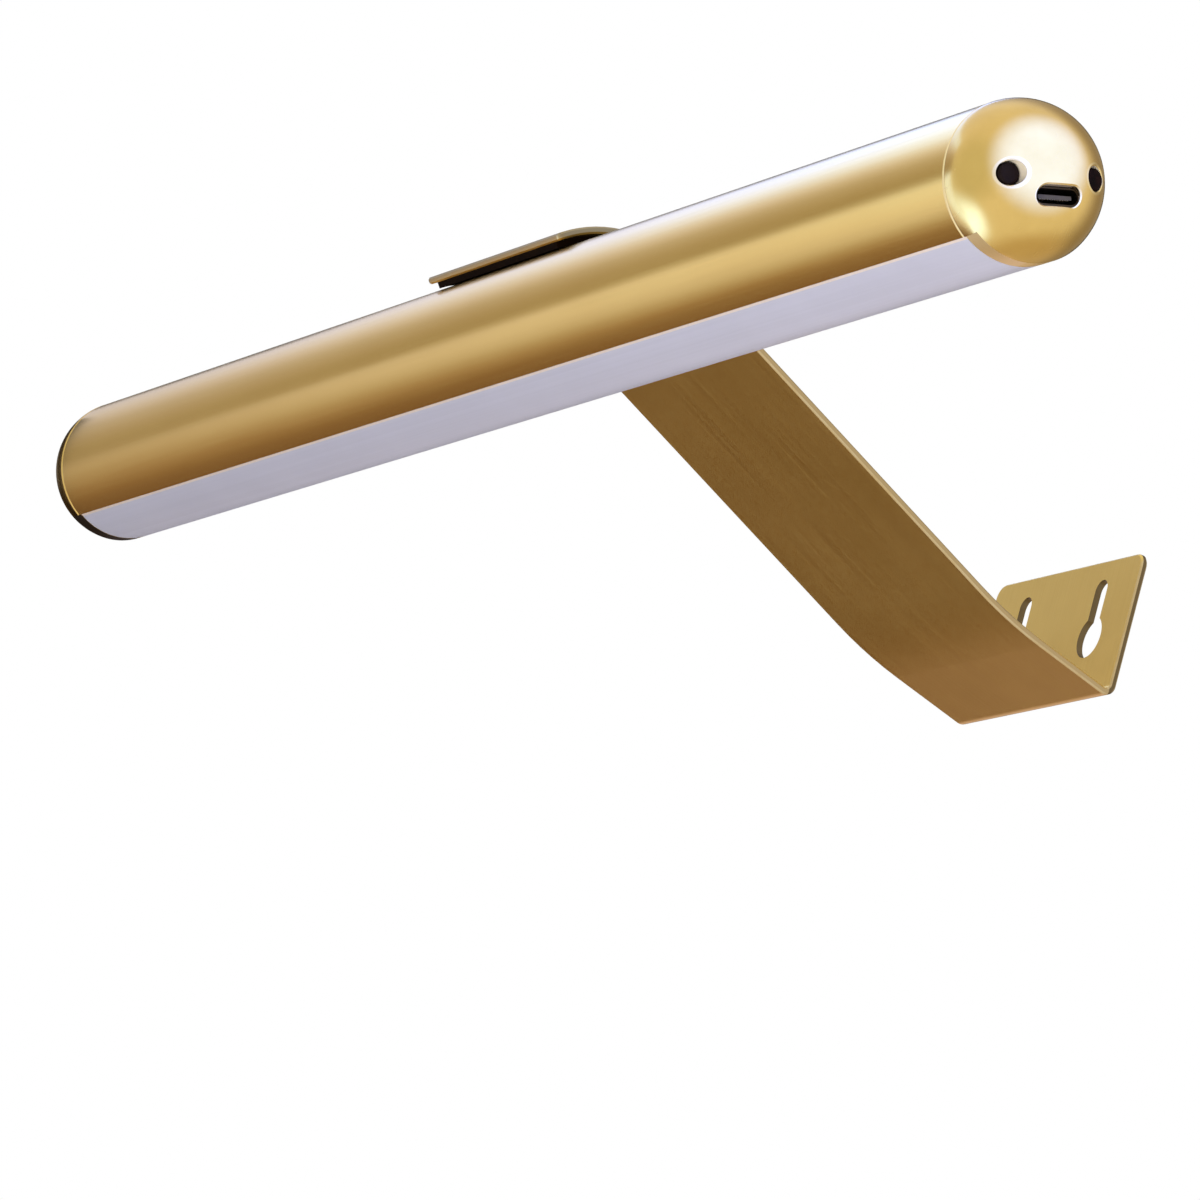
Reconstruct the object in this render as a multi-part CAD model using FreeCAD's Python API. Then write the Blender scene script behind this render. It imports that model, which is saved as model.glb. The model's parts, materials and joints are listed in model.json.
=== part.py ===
import FreeCAD, Part
import math
import os

Vector = FreeCAD.Vector

# ---------------------------------------------------------------------------
# Rechargeable picture light on a bent-strip wall bracket.
# Frame: origin at the middle of the wall plate's back face, +Y into the wall,
# +X along the light bar towards the charging port, +Z up.  Millimetres.
# ---------------------------------------------------------------------------

# Light bar, outside
bar_radius = 15.0
bar_length = 378.0            # housing, from cap joint to cap joint
housing_wall = 1.3
diffuser_half_angle = 48.0    # half of the opening in the housing's underside, degrees
diffuser_step = 0.5           # the diffuser lies this far under the housing's radius
diffuser_wall = 1.2
diffuser_side_gap = 0.6       # degrees between the diffuser's edge and the housing's
diffuser_end_gap = 0.2
joint_chamfer = 0.3           # on the housing's and the caps' edges where they meet
cap_skirt = 0.5               # straight part of an end cap
cap_dome = 14.5               # height of the domed part
cap_wall = 1.5
cap_floor_radius = 7.0        # flat inside the dome
cap_bend_angles = [68.0, 45.0]  # where the inside turns from one cone to the next, degrees
cap_rim_chamfer = 0.25        # round the openings in the crown
spigot_length = 6.0
spigot_wall = 1.5
spigot_clearance = 0.15
spigot_root = 2.0             # how far the spigot reaches into the cap
spigot_half_angle = 85.0
bar_tilt = 18.0               # the bar's light is turned this far towards the wall, degrees

# Where the bar sits
wall_reach = 129.5            # wall to bar axis
axis_rise = 14.7              # bar axis above the middle of the wall plate

# Bracket strip
strip_width = 57.0
strip_thickness = 1.4
strip_edge_chamfer = 0.35     # all round both broad sides
plate_height = 31.0
plate_corner_radius = 3.0
lip_corner_radius = 1.2
fold_radius = 0.9             # inside radius of the fold at the wall
foot_pitch = 14.0             # slope of the short run next to the wall, degrees
arm_pitch = 24.8              # slope of the long run, degrees
arm_offset = 21.7             # bar axis to the underside of the long run
knee_radius = 90.0            # bend between the two runs, on the underside
saddle_radius = 26.0          # bend over the bar, on the underside
lip_angle = 131.0             # free edge, degrees round the bar axis from the wall side

# Fixing holes in the wall plate
hole_offset = 14.8            # slot and keyhole from the middle
slot_width = 4.5
hole_top_margin = 4.2         # plate's top edge to the slots' upper ends
slot_length = 14.0
keyhole_entry_radius = 4.4
keyhole_drop = 12.2           # upper end of the keyhole to the middle of its round entry

# Saddle pad and magnets
saddle_gap = 0.3              # running gap between the pad and the bar
pad_thickness = 1.3           # at the pad's front edge
pad_side_margin = 3.0         # strip edge to pad edge
pad_front_angle = 129.0       # degrees round the bar axis
pad_back_angle = 56.0
magnet_length = 18.0
magnet_width = 6.0
magnet_thickness = 2.0
magnet_angle = 75.0
magnet_spacing = 26.0
magnet_skin = 0.5             # pad left between a magnet and the bar
magnet_clearance = 0.1

# Inside the bar, heights are measured from the bar axis, up is positive
tray_top = -5.2
tray_thickness = 1.0
tray_clearance = 0.15
rib_thickness = 0.75
rib_width = 1.3
hook_ledge_top = -8.0
hook_ledge_thickness = 0.9
hook_ledge_inner = 9.2        # half of the clear width between the hook ledges
leg_thickness = 1.0
leg_clearance = 0.2
barb_reach = 1.1
barb_height = 1.0
led_board_width = 14.0
led_board_thickness = 1.2
led_board_end_gap = 3.0
led_pitch = 12.0
led_end_margin = 11.0         # from the board's end to the first LED's middle, at least
led_length = 3.5
led_width = 2.8
led_height = 0.8
cell_radius = 9.1
cell_length = 65.0
cell_offset = 71.0            # middle of each cell from the middle of the bar
cell_seat_gap = 0.15
cradle_clearance = 0.3
cell_button_radius = 3.0
cell_button_height = 1.0
cradle_half_width = 10.9
cradle_height = 9.2
cradle_end_wall = 2.0
contact_size = 9.0
contact_thickness = 0.4
strike_thickness = 1.0
strike_length = 54.0
strike_gap = 0.1
strike_half_angle = 78.0
wire_radius = 0.8
wire_offset = 6.0
wire_height = -1.5
led_wire_radius = 0.5
led_wire_offset = 3.0
led_wire_overlap = 5.0

# Control board and what it carries, depths are measured from the cap joint outwards
board_back = 3.5
board_thickness = 1.4
board_clearance = 0.15
boss_radius = 2.2
boss_pilot_radius = 0.7
boss_seats = [(0.0, 9.3), (-6.6, -7.4), (6.6, -7.4)]
screw_radius = 0.65
screw_length = 5.0
screw_head_radius = 1.7
screw_head_height = 1.5
screw_hole_radius = 1.0
eye_offset = 8.3              # button and sensor from the middle plane
eye_height = -0.5
eye_radius = 2.2
collar_radius = 3.2
collar_back = 9.0
button_gap = 0.2
button_front = 11.4
button_flange_radius = 2.6
button_flange_thickness = 0.8
flange_clearance = 0.2        # room round a flange in the cap's wall
button_rest_gap = 0.05
button_travel = 0.5
button_crown = 0.5
switch_size = 5.2
switch_height = 1.4
switch_stem_radius = 1.6
window_clearance = 0.05
window_front = 11.2
window_crown = 0.6
receiver_size = 5.0
receiver_height = 1.6
receiver_lens_radius = 1.8
port_height = -4.3
port_slot_length = 8.6
port_slot_height = 3.6
port_shell_length = 8.94
port_shell_height = 3.26
port_shell_wall = 0.3
port_pocket_clearance = 0.15
port_pocket_front = 13.0
port_recess = 0.1
tongue_width = 6.7
tongue_thickness = 0.7
tongue_setback = 0.8
port_base_thickness = 1.2

os.makedirs("parts", exist_ok=True)


# ---------------------------------------------------------------------------
# Small helpers
# ---------------------------------------------------------------------------

def save(name, shape):
    shape.exportStep("parts/" + name + ".step")


def on_circle(radius, degrees, centre=(0.0, 0.0)):
    """Point (y, z) on a circle; degrees run from +Y towards +Z."""
    a = math.radians(degrees)
    return (centre[0] + radius * math.cos(a), centre[1] + radius * math.sin(a))


def at(x, point):
    return Vector(x, point[0], point[1])


def line(x, a, b):
    return Part.LineSegment(at(x, a), at(x, b)).toShape()


def arc(x, a, middle, b):
    return Part.Arc(at(x, a), at(x, middle), at(x, b)).toShape()


def prism(edges, length):
    return Part.Face(Part.Wire(edges)).extrude(Vector(length, 0, 0))


def polygon(x, points, length):
    """Straight-sided section in the YZ plane at x, drawn out along +X."""
    corners = [at(x, p) for p in points]
    return Part.Face(Part.makePolygon(corners + corners[:1])).extrude(Vector(length, 0, 0))


def block(x0, x1, y0, y1, z0, z1):
    return Part.makeBox(x1 - x0, y1 - y0, z1 - z0, Vector(x0, y0, z0))


def rod(x0, x1, radius, centre=(0.0, 0.0)):
    return Part.makeCylinder(radius, x1 - x0, at(x0, centre), Vector(1, 0, 0))


def obround(x0, x1, length, height, centre):
    """Rod along X whose section is a slot lying along Y."""
    r = height / 2
    half = length / 2 - r
    y, z = centre
    edges = [
        line(x0, (y - half, z - r), (y + half, z - r)),
        arc(x0, (y + half, z - r), (y + half + r, z), (y + half, z + r)),
        line(x0, (y + half, z + r), (y - half, z + r)),
        arc(x0, (y - half, z + r), (y - half - r, z), (y - half, z - r)),
    ]
    return prism(edges, x1 - x0)


def wedge(x0, x1, middle, half_angle, reach):
    """Three-sided prism from the bar axis that opens about the direction middle."""
    a = on_circle(reach, middle - half_angle)
    b = on_circle(reach, middle + half_angle)
    return polygon(x0, [(0.0, 0.0), a, b], x1 - x0)


def mirrored(shape):
    """The same piece on the other side of the bar's middle plane Y = 0."""
    return shape.mirror(Vector(0, 0, 0), Vector(0, 1, 0))


def fused(shapes):
    return shapes[0].fuse(shapes[1:]).removeSplitter()


def seated(shape):
    """Bar pieces are drawn about the bar axis, then tilted and put in the saddle."""
    turned = shape.copy()
    turned.rotate(Vector(0, 0, 0), Vector(1, 0, 0), bar_tilt)
    turned.translate(Vector(0, -wall_reach, axis_rise))
    return turned


# ---------------------------------------------------------------------------
# Values worked out from the dimensions above
# ---------------------------------------------------------------------------

joint = bar_length / 2
bore_radius = bar_radius - housing_wall
down = -90.0
diffuser_radius = bar_radius - diffuser_step
diffuser_inner = diffuser_radius - diffuser_wall
cap_length = cap_skirt + cap_dome
tray_bottom = tray_top - tray_thickness
board_front = board_back + board_thickness


def bore_half_width(height):
    return math.sqrt(bore_radius ** 2 - height ** 2)


# ---------------------------------------------------------------------------
# Bracket: one strip, bent
# ---------------------------------------------------------------------------

axis_y = -wall_reach
pitch = math.radians(arm_pitch)
run_normal = (math.sin(pitch), math.cos(pitch))
run_down = (math.cos(pitch), -math.sin(pitch))


def saddle_centre():
    """Centre of the bend over the bar: tangent to the long run and one pad away from
    the bar at the free edge."""
    edge = on_circle(bar_radius + saddle_gap + pad_thickness, lip_angle)
    across = arm_offset - saddle_radius
    rise = edge[0] * run_normal[0] + edge[1] * run_normal[1] - across
    along = edge[0] * run_down[0] + edge[1] * run_down[1] + math.sqrt(saddle_radius ** 2 - rise ** 2)
    y = across * run_normal[0] + along * run_down[0]
    z = across * run_normal[1] + along * run_down[1]
    return (y, z)


saddle_mid = saddle_centre()
lip_edge = on_circle(bar_radius + saddle_gap + pad_thickness, lip_angle)
lip_direction = math.degrees(math.atan2(lip_edge[1] - saddle_mid[1], lip_edge[0] - saddle_mid[0]))
crest_direction = math.degrees(math.atan2(run_normal[1], run_normal[0]))


def strip_side(depth):
    """Edges of one face of the strip, from the free edge to the plate's top, and the
    two end points.  depth 0 is the underside, depth strip_thickness the upper side."""
    def row(point):
        return (point[0] + axis_y, point[1] + axis_rise)

    radius = saddle_radius + depth
    lip = row(on_circle(radius, lip_direction, saddle_mid))
    crown = row(on_circle(radius, (lip_direction + crest_direction) / 2, saddle_mid))
    run_start = row(on_circle(radius, crest_direction, saddle_mid))
    # lines of the two runs and of the plate, moved out by depth
    foot = math.radians(foot_pitch)
    fold_turn = math.pi / 2 - foot
    plate_y = -depth
    plate_foot_z = -plate_height / 2 + depth / math.cos(foot) + depth * math.tan(foot)
    run_on = row((run_normal[0] * (arm_offset + depth), run_normal[1] * (arm_offset + depth)))
    # meeting point of the long run and the foot run
    slope_run = -math.tan(pitch)
    slope_foot = -math.tan(foot)
    rise = plate_foot_z - slope_foot * plate_y - (run_on[1] - slope_run * run_on[0])
    knee_y = rise / (slope_run - slope_foot)
    knee_z = run_on[1] + slope_run * (knee_y - run_on[0])
    knee_turn = pitch - foot
    knee = knee_radius - depth
    knee_reach = knee * math.tan(knee_turn / 2)
    knee_a = (knee_y - knee_reach * math.cos(pitch), knee_z + knee_reach * math.sin(pitch))
    knee_b = (knee_y + knee_reach * math.cos(foot), knee_z - knee_reach * math.sin(foot))
    sag = knee / math.cos(knee_turn / 2) - knee
    lean = (pitch + foot) / 2
    knee_mid = (knee_y + sag * math.sin(lean), knee_z + sag * math.cos(lean))
    fold = fold_radius + strip_thickness - depth
    fold_reach = fold * math.tan((math.pi - fold_turn) / 2)
    fold_a = (plate_y - fold_reach * math.cos(foot), plate_foot_z + fold_reach * math.sin(foot))
    fold_b = (plate_y, plate_foot_z + fold_reach)
    turn_centre = (plate_y - fold, plate_foot_z + fold_reach)
    fold_mid = on_circle(fold, math.degrees(-(math.pi / 2 + foot) / 2), turn_centre)
    top = (plate_y, plate_height / 2)
    x = -strip_width / 2
    edges = [
        arc(x, lip, crown, run_start),
        line(x, run_start, knee_a),
        arc(x, knee_a, knee_mid, knee_b),
        line(x, knee_b, fold_a),
        arc(x, fold_a, fold_mid, fold_b),
        line(x, fold_b, top),
    ]
    return edges, lip, top


def corner_edges(strip, chosen):
    """Edges that run through the strip's thickness at its two long sides, where the
    test chosen is true of their middle."""
    found = []
    for edge in strip.Edges:
        middle = edge.CenterOfMass
        through = abs(edge.Length - strip_thickness) < 0.01
        if through and abs(abs(middle.x) - strip_width / 2) < 0.01 and chosen(middle):
            found.append(edge)
    return found


def outline_edges(strip):
    """Every edge between the strip's thickness and one of its two broad sides."""
    return [e for e in strip.Edges if abs(e.Length - strip_thickness) > 0.01 and bounds_rim(strip, e)]


def bounds_rim(strip, edge):
    """True where exactly one of the edge's two faces is part of the strip's rim."""
    faces = strip.ancestorsOfType(edge, Part.Face)
    return len([f for f in faces if on_rim(f)]) == 1


def on_rim(face):
    box = face.BoundBox
    side = box.XLength < 0.01
    corner = 0.01 < box.XLength < plate_corner_radius + 0.01
    end = face.Area < strip_width * strip_thickness + 0.01
    return side or corner or end


def bracket_arm():
    under, lip_under, top_under = strip_side(0.0)
    upper, lip_upper, top_upper = strip_side(strip_thickness)
    x = -strip_width / 2
    edges = under + [line(x, top_under, top_upper)] + upper[::-1] + [line(x, lip_upper, lip_under)]
    strip = prism(Part.__sortEdges__(edges), strip_width)

    def at_plate_top(middle):
        return middle.z > plate_height / 2 - 0.01 and middle.y > -strip_thickness

    def at_lip(middle):
        return middle.y < axis_y

    strip = strip.makeFillet(plate_corner_radius, corner_edges(strip, at_plate_top))
    strip = strip.makeFillet(lip_corner_radius, corner_edges(strip, at_lip))
    strip = strip.makeChamfer(strip_edge_chamfer, outline_edges(strip))
    return strip.cut([plain_slot(), keyhole()])


def upright_slot(x, width, z_low, z_top):
    """Cutter through the wall plate: a slot that stands up, with round ends."""
    r = width / 2
    y0 = -2 * strip_thickness
    depth = Vector(0, 3 * strip_thickness, 0)
    body = Part.makeBox(width, depth.y, z_top - z_low - width, Vector(x - r, y0, z_low + r))
    across = Vector(0, 1, 0)
    ends = [Part.makeCylinder(r, depth.y, Vector(x, y0, z), across) for z in (z_low + r, z_top - r)]
    return body.fuse(ends)


slots_top = plate_height / 2 - hole_top_margin
keyhole_entry_z = slots_top - keyhole_drop


def plain_slot():
    return upright_slot(-hole_offset, slot_width, slots_top - slot_length, slots_top)


def keyhole():
    stem = upright_slot(hole_offset, slot_width, keyhole_entry_z - slot_width / 2, slots_top)
    start = Vector(hole_offset, -2 * strip_thickness, keyhole_entry_z)
    entry = Part.makeCylinder(keyhole_entry_radius, 3 * strip_thickness, start, Vector(0, 1, 0))
    return stem.fuse(entry)


def saddle_reach(angle):
    """Distance from the bar axis to the strip's underside in a direction."""
    a = math.radians(angle)
    toward = saddle_mid[0] * math.cos(a) + saddle_mid[1] * math.sin(a)
    apart = saddle_mid[0] ** 2 + saddle_mid[1] ** 2
    return toward + math.sqrt(toward ** 2 - apart + saddle_radius ** 2)


def in_saddle(shape):
    return shape.translated(Vector(0, axis_y, axis_rise))


def magnet_block(x_middle, grow, outer):
    """Bar magnet or its pocket, lying square to the bar's radius at magnet_angle."""
    inner = bar_radius + saddle_gap + magnet_skin
    half_x = magnet_length / 2 + grow
    half_y = magnet_width / 2 + grow
    shape = block(x_middle - half_x, x_middle + half_x, -half_y, half_y, inner, outer)
    shape.rotate(Vector(0, 0, 0), Vector(1, 0, 0), magnet_angle - 90)
    return shape


magnet_places = (-magnet_spacing / 2, magnet_spacing / 2)


def saddle_pad():
    x = -strip_width / 2 + pad_side_margin
    length = strip_width - 2 * pad_side_margin
    inner = bar_radius + saddle_gap
    middle = (pad_front_angle + pad_back_angle) / 2
    a, b = on_circle(inner, pad_front_angle), on_circle(inner, pad_back_angle)
    c = on_circle(saddle_reach(pad_back_angle), pad_back_angle)
    d = on_circle(saddle_reach(pad_front_angle), pad_front_angle)
    edges = [
        arc(x, a, on_circle(inner, middle), b),
        line(x, b, c),
        arc(x, c, on_circle(saddle_reach(middle), middle), d),
        line(x, d, a),
    ]
    pad = prism(edges, length)
    beyond = saddle_reach(pad_back_angle) + magnet_thickness
    pad = pad.cut([magnet_block(m, magnet_clearance, beyond) for m in magnet_places])
    return in_saddle(pad)


def saddle_magnets():
    outer = bar_radius + saddle_gap + magnet_skin + magnet_thickness
    return in_saddle(Part.Compound([magnet_block(m, 0.0, outer) for m in magnet_places]))


# ---------------------------------------------------------------------------
# Light bar: the housing's section and what slides into it
# ---------------------------------------------------------------------------

def side_rib(y_inner, z_low, z_top, length):
    """Rib along the housing's inner wall, rooted halfway into the wall."""
    root = rod(-length / 2, length / 2, bar_radius - housing_wall / 2)
    rib = block(-length / 2, length / 2, y_inner, bar_radius, z_low, z_top).common(root)
    return [rib, mirrored(rib)]


def housing():
    x0, x1 = -joint, joint
    blank = rod(x0, x1, bar_radius)
    rims = [e for e in blank.Edges if e.Curve.TypeId == "Part::GeomCircle"]
    shell = blank.makeChamfer(joint_chamfer, rims).cut(rod(x0, x1, bore_radius))
    shell = shell.cut(wedge(x0, x1, down, diffuser_half_angle, 2 * bar_radius))
    carry_low = tray_bottom - rib_thickness
    carry = side_rib(bore_half_width(tray_bottom) - rib_width, carry_low, tray_bottom, bar_length)
    hold_low = tray_top + tray_clearance
    hold = side_rib(bore_half_width(hold_low) - rib_width, hold_low, hold_low + rib_thickness, bar_length)
    hook = side_rib(hook_ledge_inner, hook_ledge_top - hook_ledge_thickness, hook_ledge_top, bar_length)
    return fused([shell] + carry + hold + hook)


def diffuser():
    """Milky profile: curved face, two legs, and a barb on each leg over the hook ledge."""
    half = joint - diffuser_end_gap
    length = 2 * half
    spread = diffuser_half_angle - diffuser_side_gap
    a, b = on_circle(diffuser_radius, down - spread), on_circle(diffuser_radius, down + spread)
    c, d = on_circle(diffuser_inner, down + spread), on_circle(diffuser_inner, down - spread)
    face = prism([
        arc(-half, a, on_circle(diffuser_radius, down), b),
        line(-half, b, c),
        arc(-half, c, on_circle(diffuser_inner, down), d),
        line(-half, d, a),
    ], length)
    leg_out = hook_ledge_inner - leg_clearance
    leg_in = leg_out - leg_thickness
    leg_foot = -math.sqrt((diffuser_radius - diffuser_wall / 2) ** 2 - leg_out ** 2)
    barb_low = hook_ledge_top + tray_clearance
    barb_top = barb_low + barb_height
    leg = polygon(-half, [
        (leg_in, leg_foot),
        (leg_out, leg_foot),
        (leg_out, barb_low),
        (leg_out + barb_reach, barb_low),
        (leg_out, barb_top),
        (leg_in, barb_top),
    ], length)
    return fused([face, leg, mirrored(leg)])


def board_tray():
    half_x = joint - led_board_end_gap
    half_y = bore_half_width(tray_bottom) - tray_clearance
    return block(-half_x, half_x, -half_y, half_y, tray_bottom, tray_top)


led_board_bottom = tray_bottom - led_board_thickness


def led_board():
    half_x = joint - led_board_end_gap
    return block(-half_x, half_x, -led_board_width / 2, led_board_width / 2, led_board_bottom, tray_bottom)


def leds():
    """As many LEDs as the board's length takes at their pitch, centred on it."""
    steps = math.floor(2 * (joint - led_board_end_gap - led_end_margin) / led_pitch)
    first = -led_pitch * steps / 2
    row = []
    for i in range(steps + 1):
        x = first + i * led_pitch
        row.append(block(x - led_length / 2, x + led_length / 2, -led_width / 2, led_width / 2,
                         led_board_bottom - led_height, led_board_bottom))
    return Part.Compound(row)


def strike_plate():
    half = strike_length / 2
    outer = bore_radius - strike_gap
    ring = rod(-half, half, outer).cut(rod(-half, half, outer - strike_thickness))
    return ring.common(wedge(-half, half, -down, strike_half_angle, 8 * bar_radius))


# ---------------------------------------------------------------------------
# Batteries
# ---------------------------------------------------------------------------

cell_height = tray_top + cell_seat_gap + cell_radius
pocket_half = cell_length / 2 + contact_thickness
cradle_half = pocket_half + cradle_end_wall


def battery_cell(middle):
    end = middle + cell_length / 2
    can = rod(middle - cell_length / 2, end - cell_button_height, cell_radius, (0.0, cell_height))
    return can.fuse(rod(end - cell_button_height, end, cell_button_radius, (0.0, cell_height)))


def battery_cradle(middle):
    body = block(middle - cradle_half, middle + cradle_half, -cradle_half_width, cradle_half_width,
                 tray_top, tray_top + cradle_height)
    pocket_radius = cell_radius + cradle_clearance
    return body.cut(rod(middle - pocket_half, middle + pocket_half, pocket_radius, (0.0, cell_height)))


def contact_plates():
    plates = []
    half = contact_size / 2
    low = cell_height - half
    for middle in (-cell_offset, cell_offset):
        for x in (middle - pocket_half, middle + cell_length / 2):
            plates.append(block(x, x + contact_thickness, -half, half, low, tray_top + cradle_height))
    return Part.Compound(plates)


def battery_wires():
    inner_end = cell_offset - cradle_half
    outer_end = cell_offset + cradle_half
    runs = []
    for y in (-wire_offset, wire_offset):
        runs.append(rod(-inner_end, inner_end, wire_radius, (y, wire_height)))
        runs.append(rod(outer_end, joint + board_back, wire_radius, (y, wire_height)))
    return Part.Compound(runs)


def led_wires():
    start = joint - led_board_end_gap - led_wire_overlap
    height = led_board_bottom - led_wire_radius
    return Part.Compound([rod(start, joint + board_back, led_wire_radius, (y, height))
                          for y in (-led_wire_offset, led_wire_offset)])


# ---------------------------------------------------------------------------
# End caps: drawn at +X, depths counted from the cap joint
# ---------------------------------------------------------------------------

crown_radius = (bar_radius ** 2 + cap_dome ** 2) / (2 * cap_dome)
crown_x = joint + cap_length - crown_radius


def dome_side(inset):
    """Where the skirt and the crown meet, both moved in by inset: depth and radius."""
    radius = bar_radius - inset
    reach = math.sqrt((crown_radius - inset) ** 2 - radius ** 2)
    return (crown_x + math.copysign(reach, bar_radius - cap_dome), radius)


def dome_blank(inset):
    """Solid of revolution about the bar axis: chamfer at the joint, skirt and crown, with
    every outer face moved in by inset."""
    side_x, radius = dome_side(inset)
    crown = crown_radius - inset
    lean = math.atan2(radius, side_x - crown_x)
    crown_mid = Vector(crown_x + crown * math.cos(lean / 2), 0, crown * math.sin(lean / 2))
    apex = Vector(crown_x + crown, 0, 0)
    base = Vector(joint, 0, 0)
    rim = Vector(joint, 0, radius - joint_chamfer)
    skirt = Vector(joint + joint_chamfer, 0, radius)
    side = Vector(side_x, 0, radius)
    edges = [
        Part.LineSegment(base, rim).toShape(),
        Part.LineSegment(rim, skirt).toShape(),
        Part.LineSegment(skirt, side).toShape(),
        Part.Arc(side, crown_mid, apex).toShape(),
        Part.LineSegment(apex, base).toShape(),
    ]
    return Part.Face(Part.Wire(edges)).revolve(Vector(0, 0, 0), Vector(1, 0, 0), 360)


def cap_hollow():
    """Inside of a cap: round at the joint, then cones and a flat floor whose corners lie
    cap_wall under the dome."""
    side = dome_side(cap_wall)
    crown = crown_radius - cap_wall
    bends = [on_circle(crown, angle, (crown_x, 0.0)) for angle in cap_bend_angles]
    floor_x = crown_x + math.sqrt(crown ** 2 - cap_floor_radius ** 2)
    profile = [(joint, 0.0), (joint, side[1]), side] + bends
    profile += [(floor_x, cap_floor_radius), (floor_x, 0.0), (joint, 0.0)]
    section = Part.makePolygon([Vector(x, 0, z) for x, z in profile])
    return Part.Face(section).revolve(Vector(0, 0, 0), Vector(1, 0, 0), 360)


spigot_outer = bore_radius - spigot_clearance
spigot_inner = spigot_outer - spigot_wall


def spigot():
    """Crown part of a ring that enters the housing, with its root in the cap's wall."""
    back, root = joint - spigot_length, joint + spigot_root
    ring = rod(back, root, spigot_outer).fuse(rod(joint, root, bar_radius - cap_wall / 2))
    ring = ring.cut(rod(back, root, spigot_inner))
    return ring.common(wedge(back, root, -down, spigot_half_angle, 20 * bar_radius))


def plain_cap():
    """Domed shell with its spigot, set back over the diffuser's opening."""
    front = joint + cap_length
    shell = dome_blank(0.0).cut(cap_hollow())
    rim = rod(joint, front, bar_radius + diffuser_step).cut(rod(joint, front, diffuser_radius))
    shell = shell.cut(rim.common(wedge(joint, front, down, diffuser_half_angle, 2 * bar_radius)))
    return shell.fuse(spigot())


def opening_edges(cap):
    """Edges of the openings in the crown, the one round face of the cap's outside."""
    crown = [f for f in cap.Faces if f.Surface.TypeId == "Part::GeomSphere"][0]
    edges = []
    for wire in crown.Wires:
        if not wire.isSame(crown.OuterWire):
            edges += wire.Edges
    return edges


eye_middles = [(-eye_offset, eye_height), (eye_offset, eye_height)]


def port_cap():
    front = joint + cap_length
    inside = dome_blank(cap_wall / 2)
    lugs = [rod(joint + board_front, front, boss_radius, seat) for seat in boss_seats]
    lugs += [rod(joint + collar_back, front, collar_radius, eye) for eye in eye_middles]
    cap = plain_cap().fuse([lug.common(inside) for lug in lugs])
    pilot_end = joint + board_back + screw_length + boss_pilot_radius / 2
    holes = [rod(joint + board_front, pilot_end, boss_pilot_radius, seat) for seat in boss_seats]
    holes += [rod(joint + board_front, front, eye_radius, eye) for eye in eye_middles]
    flange_room = button_flange_radius + flange_clearance
    holes += [rod(joint + board_front, joint + collar_back, flange_room, eye) for eye in eye_middles]
    centre = (0.0, port_height)
    grow = 2 * port_pocket_clearance
    holes.append(obround(joint + board_front, front, port_slot_length, port_slot_height, centre))
    holes.append(obround(joint + board_front, joint + port_pocket_front, port_shell_length + grow,
                         port_shell_height + grow, centre))
    cap = cap.cut(holes)
    return cap.makeChamfer(cap_rim_chamfer, opening_edges(cap))


# ---------------------------------------------------------------------------
# Control board and the parts behind the port cap's openings
# ---------------------------------------------------------------------------

board_radius = spigot_inner - board_clearance
seat_x = joint + board_front


def control_board():
    disc = rod(joint + board_back, seat_x, board_radius)
    return disc.cut([rod(joint + board_back, seat_x, screw_hole_radius, seat) for seat in boss_seats])


def board_screws():
    back = joint + board_back
    screws = []
    for seat in boss_seats:
        shank = rod(back, back + screw_length, screw_radius, seat)
        head = rod(back - screw_head_height, back, screw_head_radius, seat)
        screws.append(fused([shank, head]))
    return Part.Compound(screws)


def usb_port_shell():
    end = joint + port_pocket_front - port_recess
    centre = (0.0, port_height)
    wall = 2 * port_shell_wall
    outer = obround(seat_x, end, port_shell_length, port_shell_height, centre)
    return outer.cut(obround(seat_x, end, port_shell_length - wall, port_shell_height - wall, centre))


def usb_port_tongue():
    end = joint + port_pocket_front - port_recess - tongue_setback
    shrink = 2 * (port_shell_wall + window_clearance)
    centre = (0.0, port_height)
    base = obround(seat_x, seat_x + port_base_thickness, port_shell_length - shrink,
                   port_shell_height - shrink, centre)
    half_y = tongue_width / 2
    half_z = tongue_thickness / 2
    tongue = block(seat_x, end, -half_y, half_y, port_height - half_z, port_height + half_z)
    return fused([base, tongue])


def eye_plug(y, radius, flange_back, flange_front, front, crown):
    """Flanged round plug behind one of the cap's round openings, with a rounded front."""
    stem = rod(flange_front, front, radius, (y, eye_height))
    rim = [e for e in stem.Edges if abs(e.CenterOfMass.x - front) < 0.01]
    stem = stem.makeFillet(crown, rim)
    flange = rod(flange_back, flange_front, button_flange_radius, (y, eye_height))
    return fused([stem, flange])


flange_front = joint + collar_back - button_rest_gap
flange_back = flange_front - button_flange_thickness


def power_button():
    return eye_plug(-eye_offset, eye_radius - button_gap, flange_back, flange_front,
                    joint + button_front, button_crown)


def sensor_window():
    seat = joint + collar_back
    return eye_plug(eye_offset, eye_radius - window_clearance, seat - button_flange_thickness, seat,
                    joint + window_front, window_crown)


def on_board(y, size, height, stem_radius, stem_end):
    """Square component on the control board with a round stem or lens."""
    half = size / 2
    body = block(seat_x, seat_x + height, y - half, y + half, eye_height - half, eye_height + half)
    return fused([body, rod(seat_x, stem_end, stem_radius, (y, eye_height))])


def switch_body():
    stem_end = flange_back - button_travel - button_rest_gap
    return on_board(-eye_offset, switch_size, switch_height, switch_stem_radius, stem_end)


def ir_receiver():
    lens_end = joint + collar_back - button_flange_thickness - window_clearance
    return on_board(eye_offset, receiver_size, receiver_height, receiver_lens_radius, lens_end)


# ---------------------------------------------------------------------------
# Write every piece
# ---------------------------------------------------------------------------

save("bracket_arm", bracket_arm())
save("saddle_pad", saddle_pad())
save("saddle_magnets", saddle_magnets())

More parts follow.
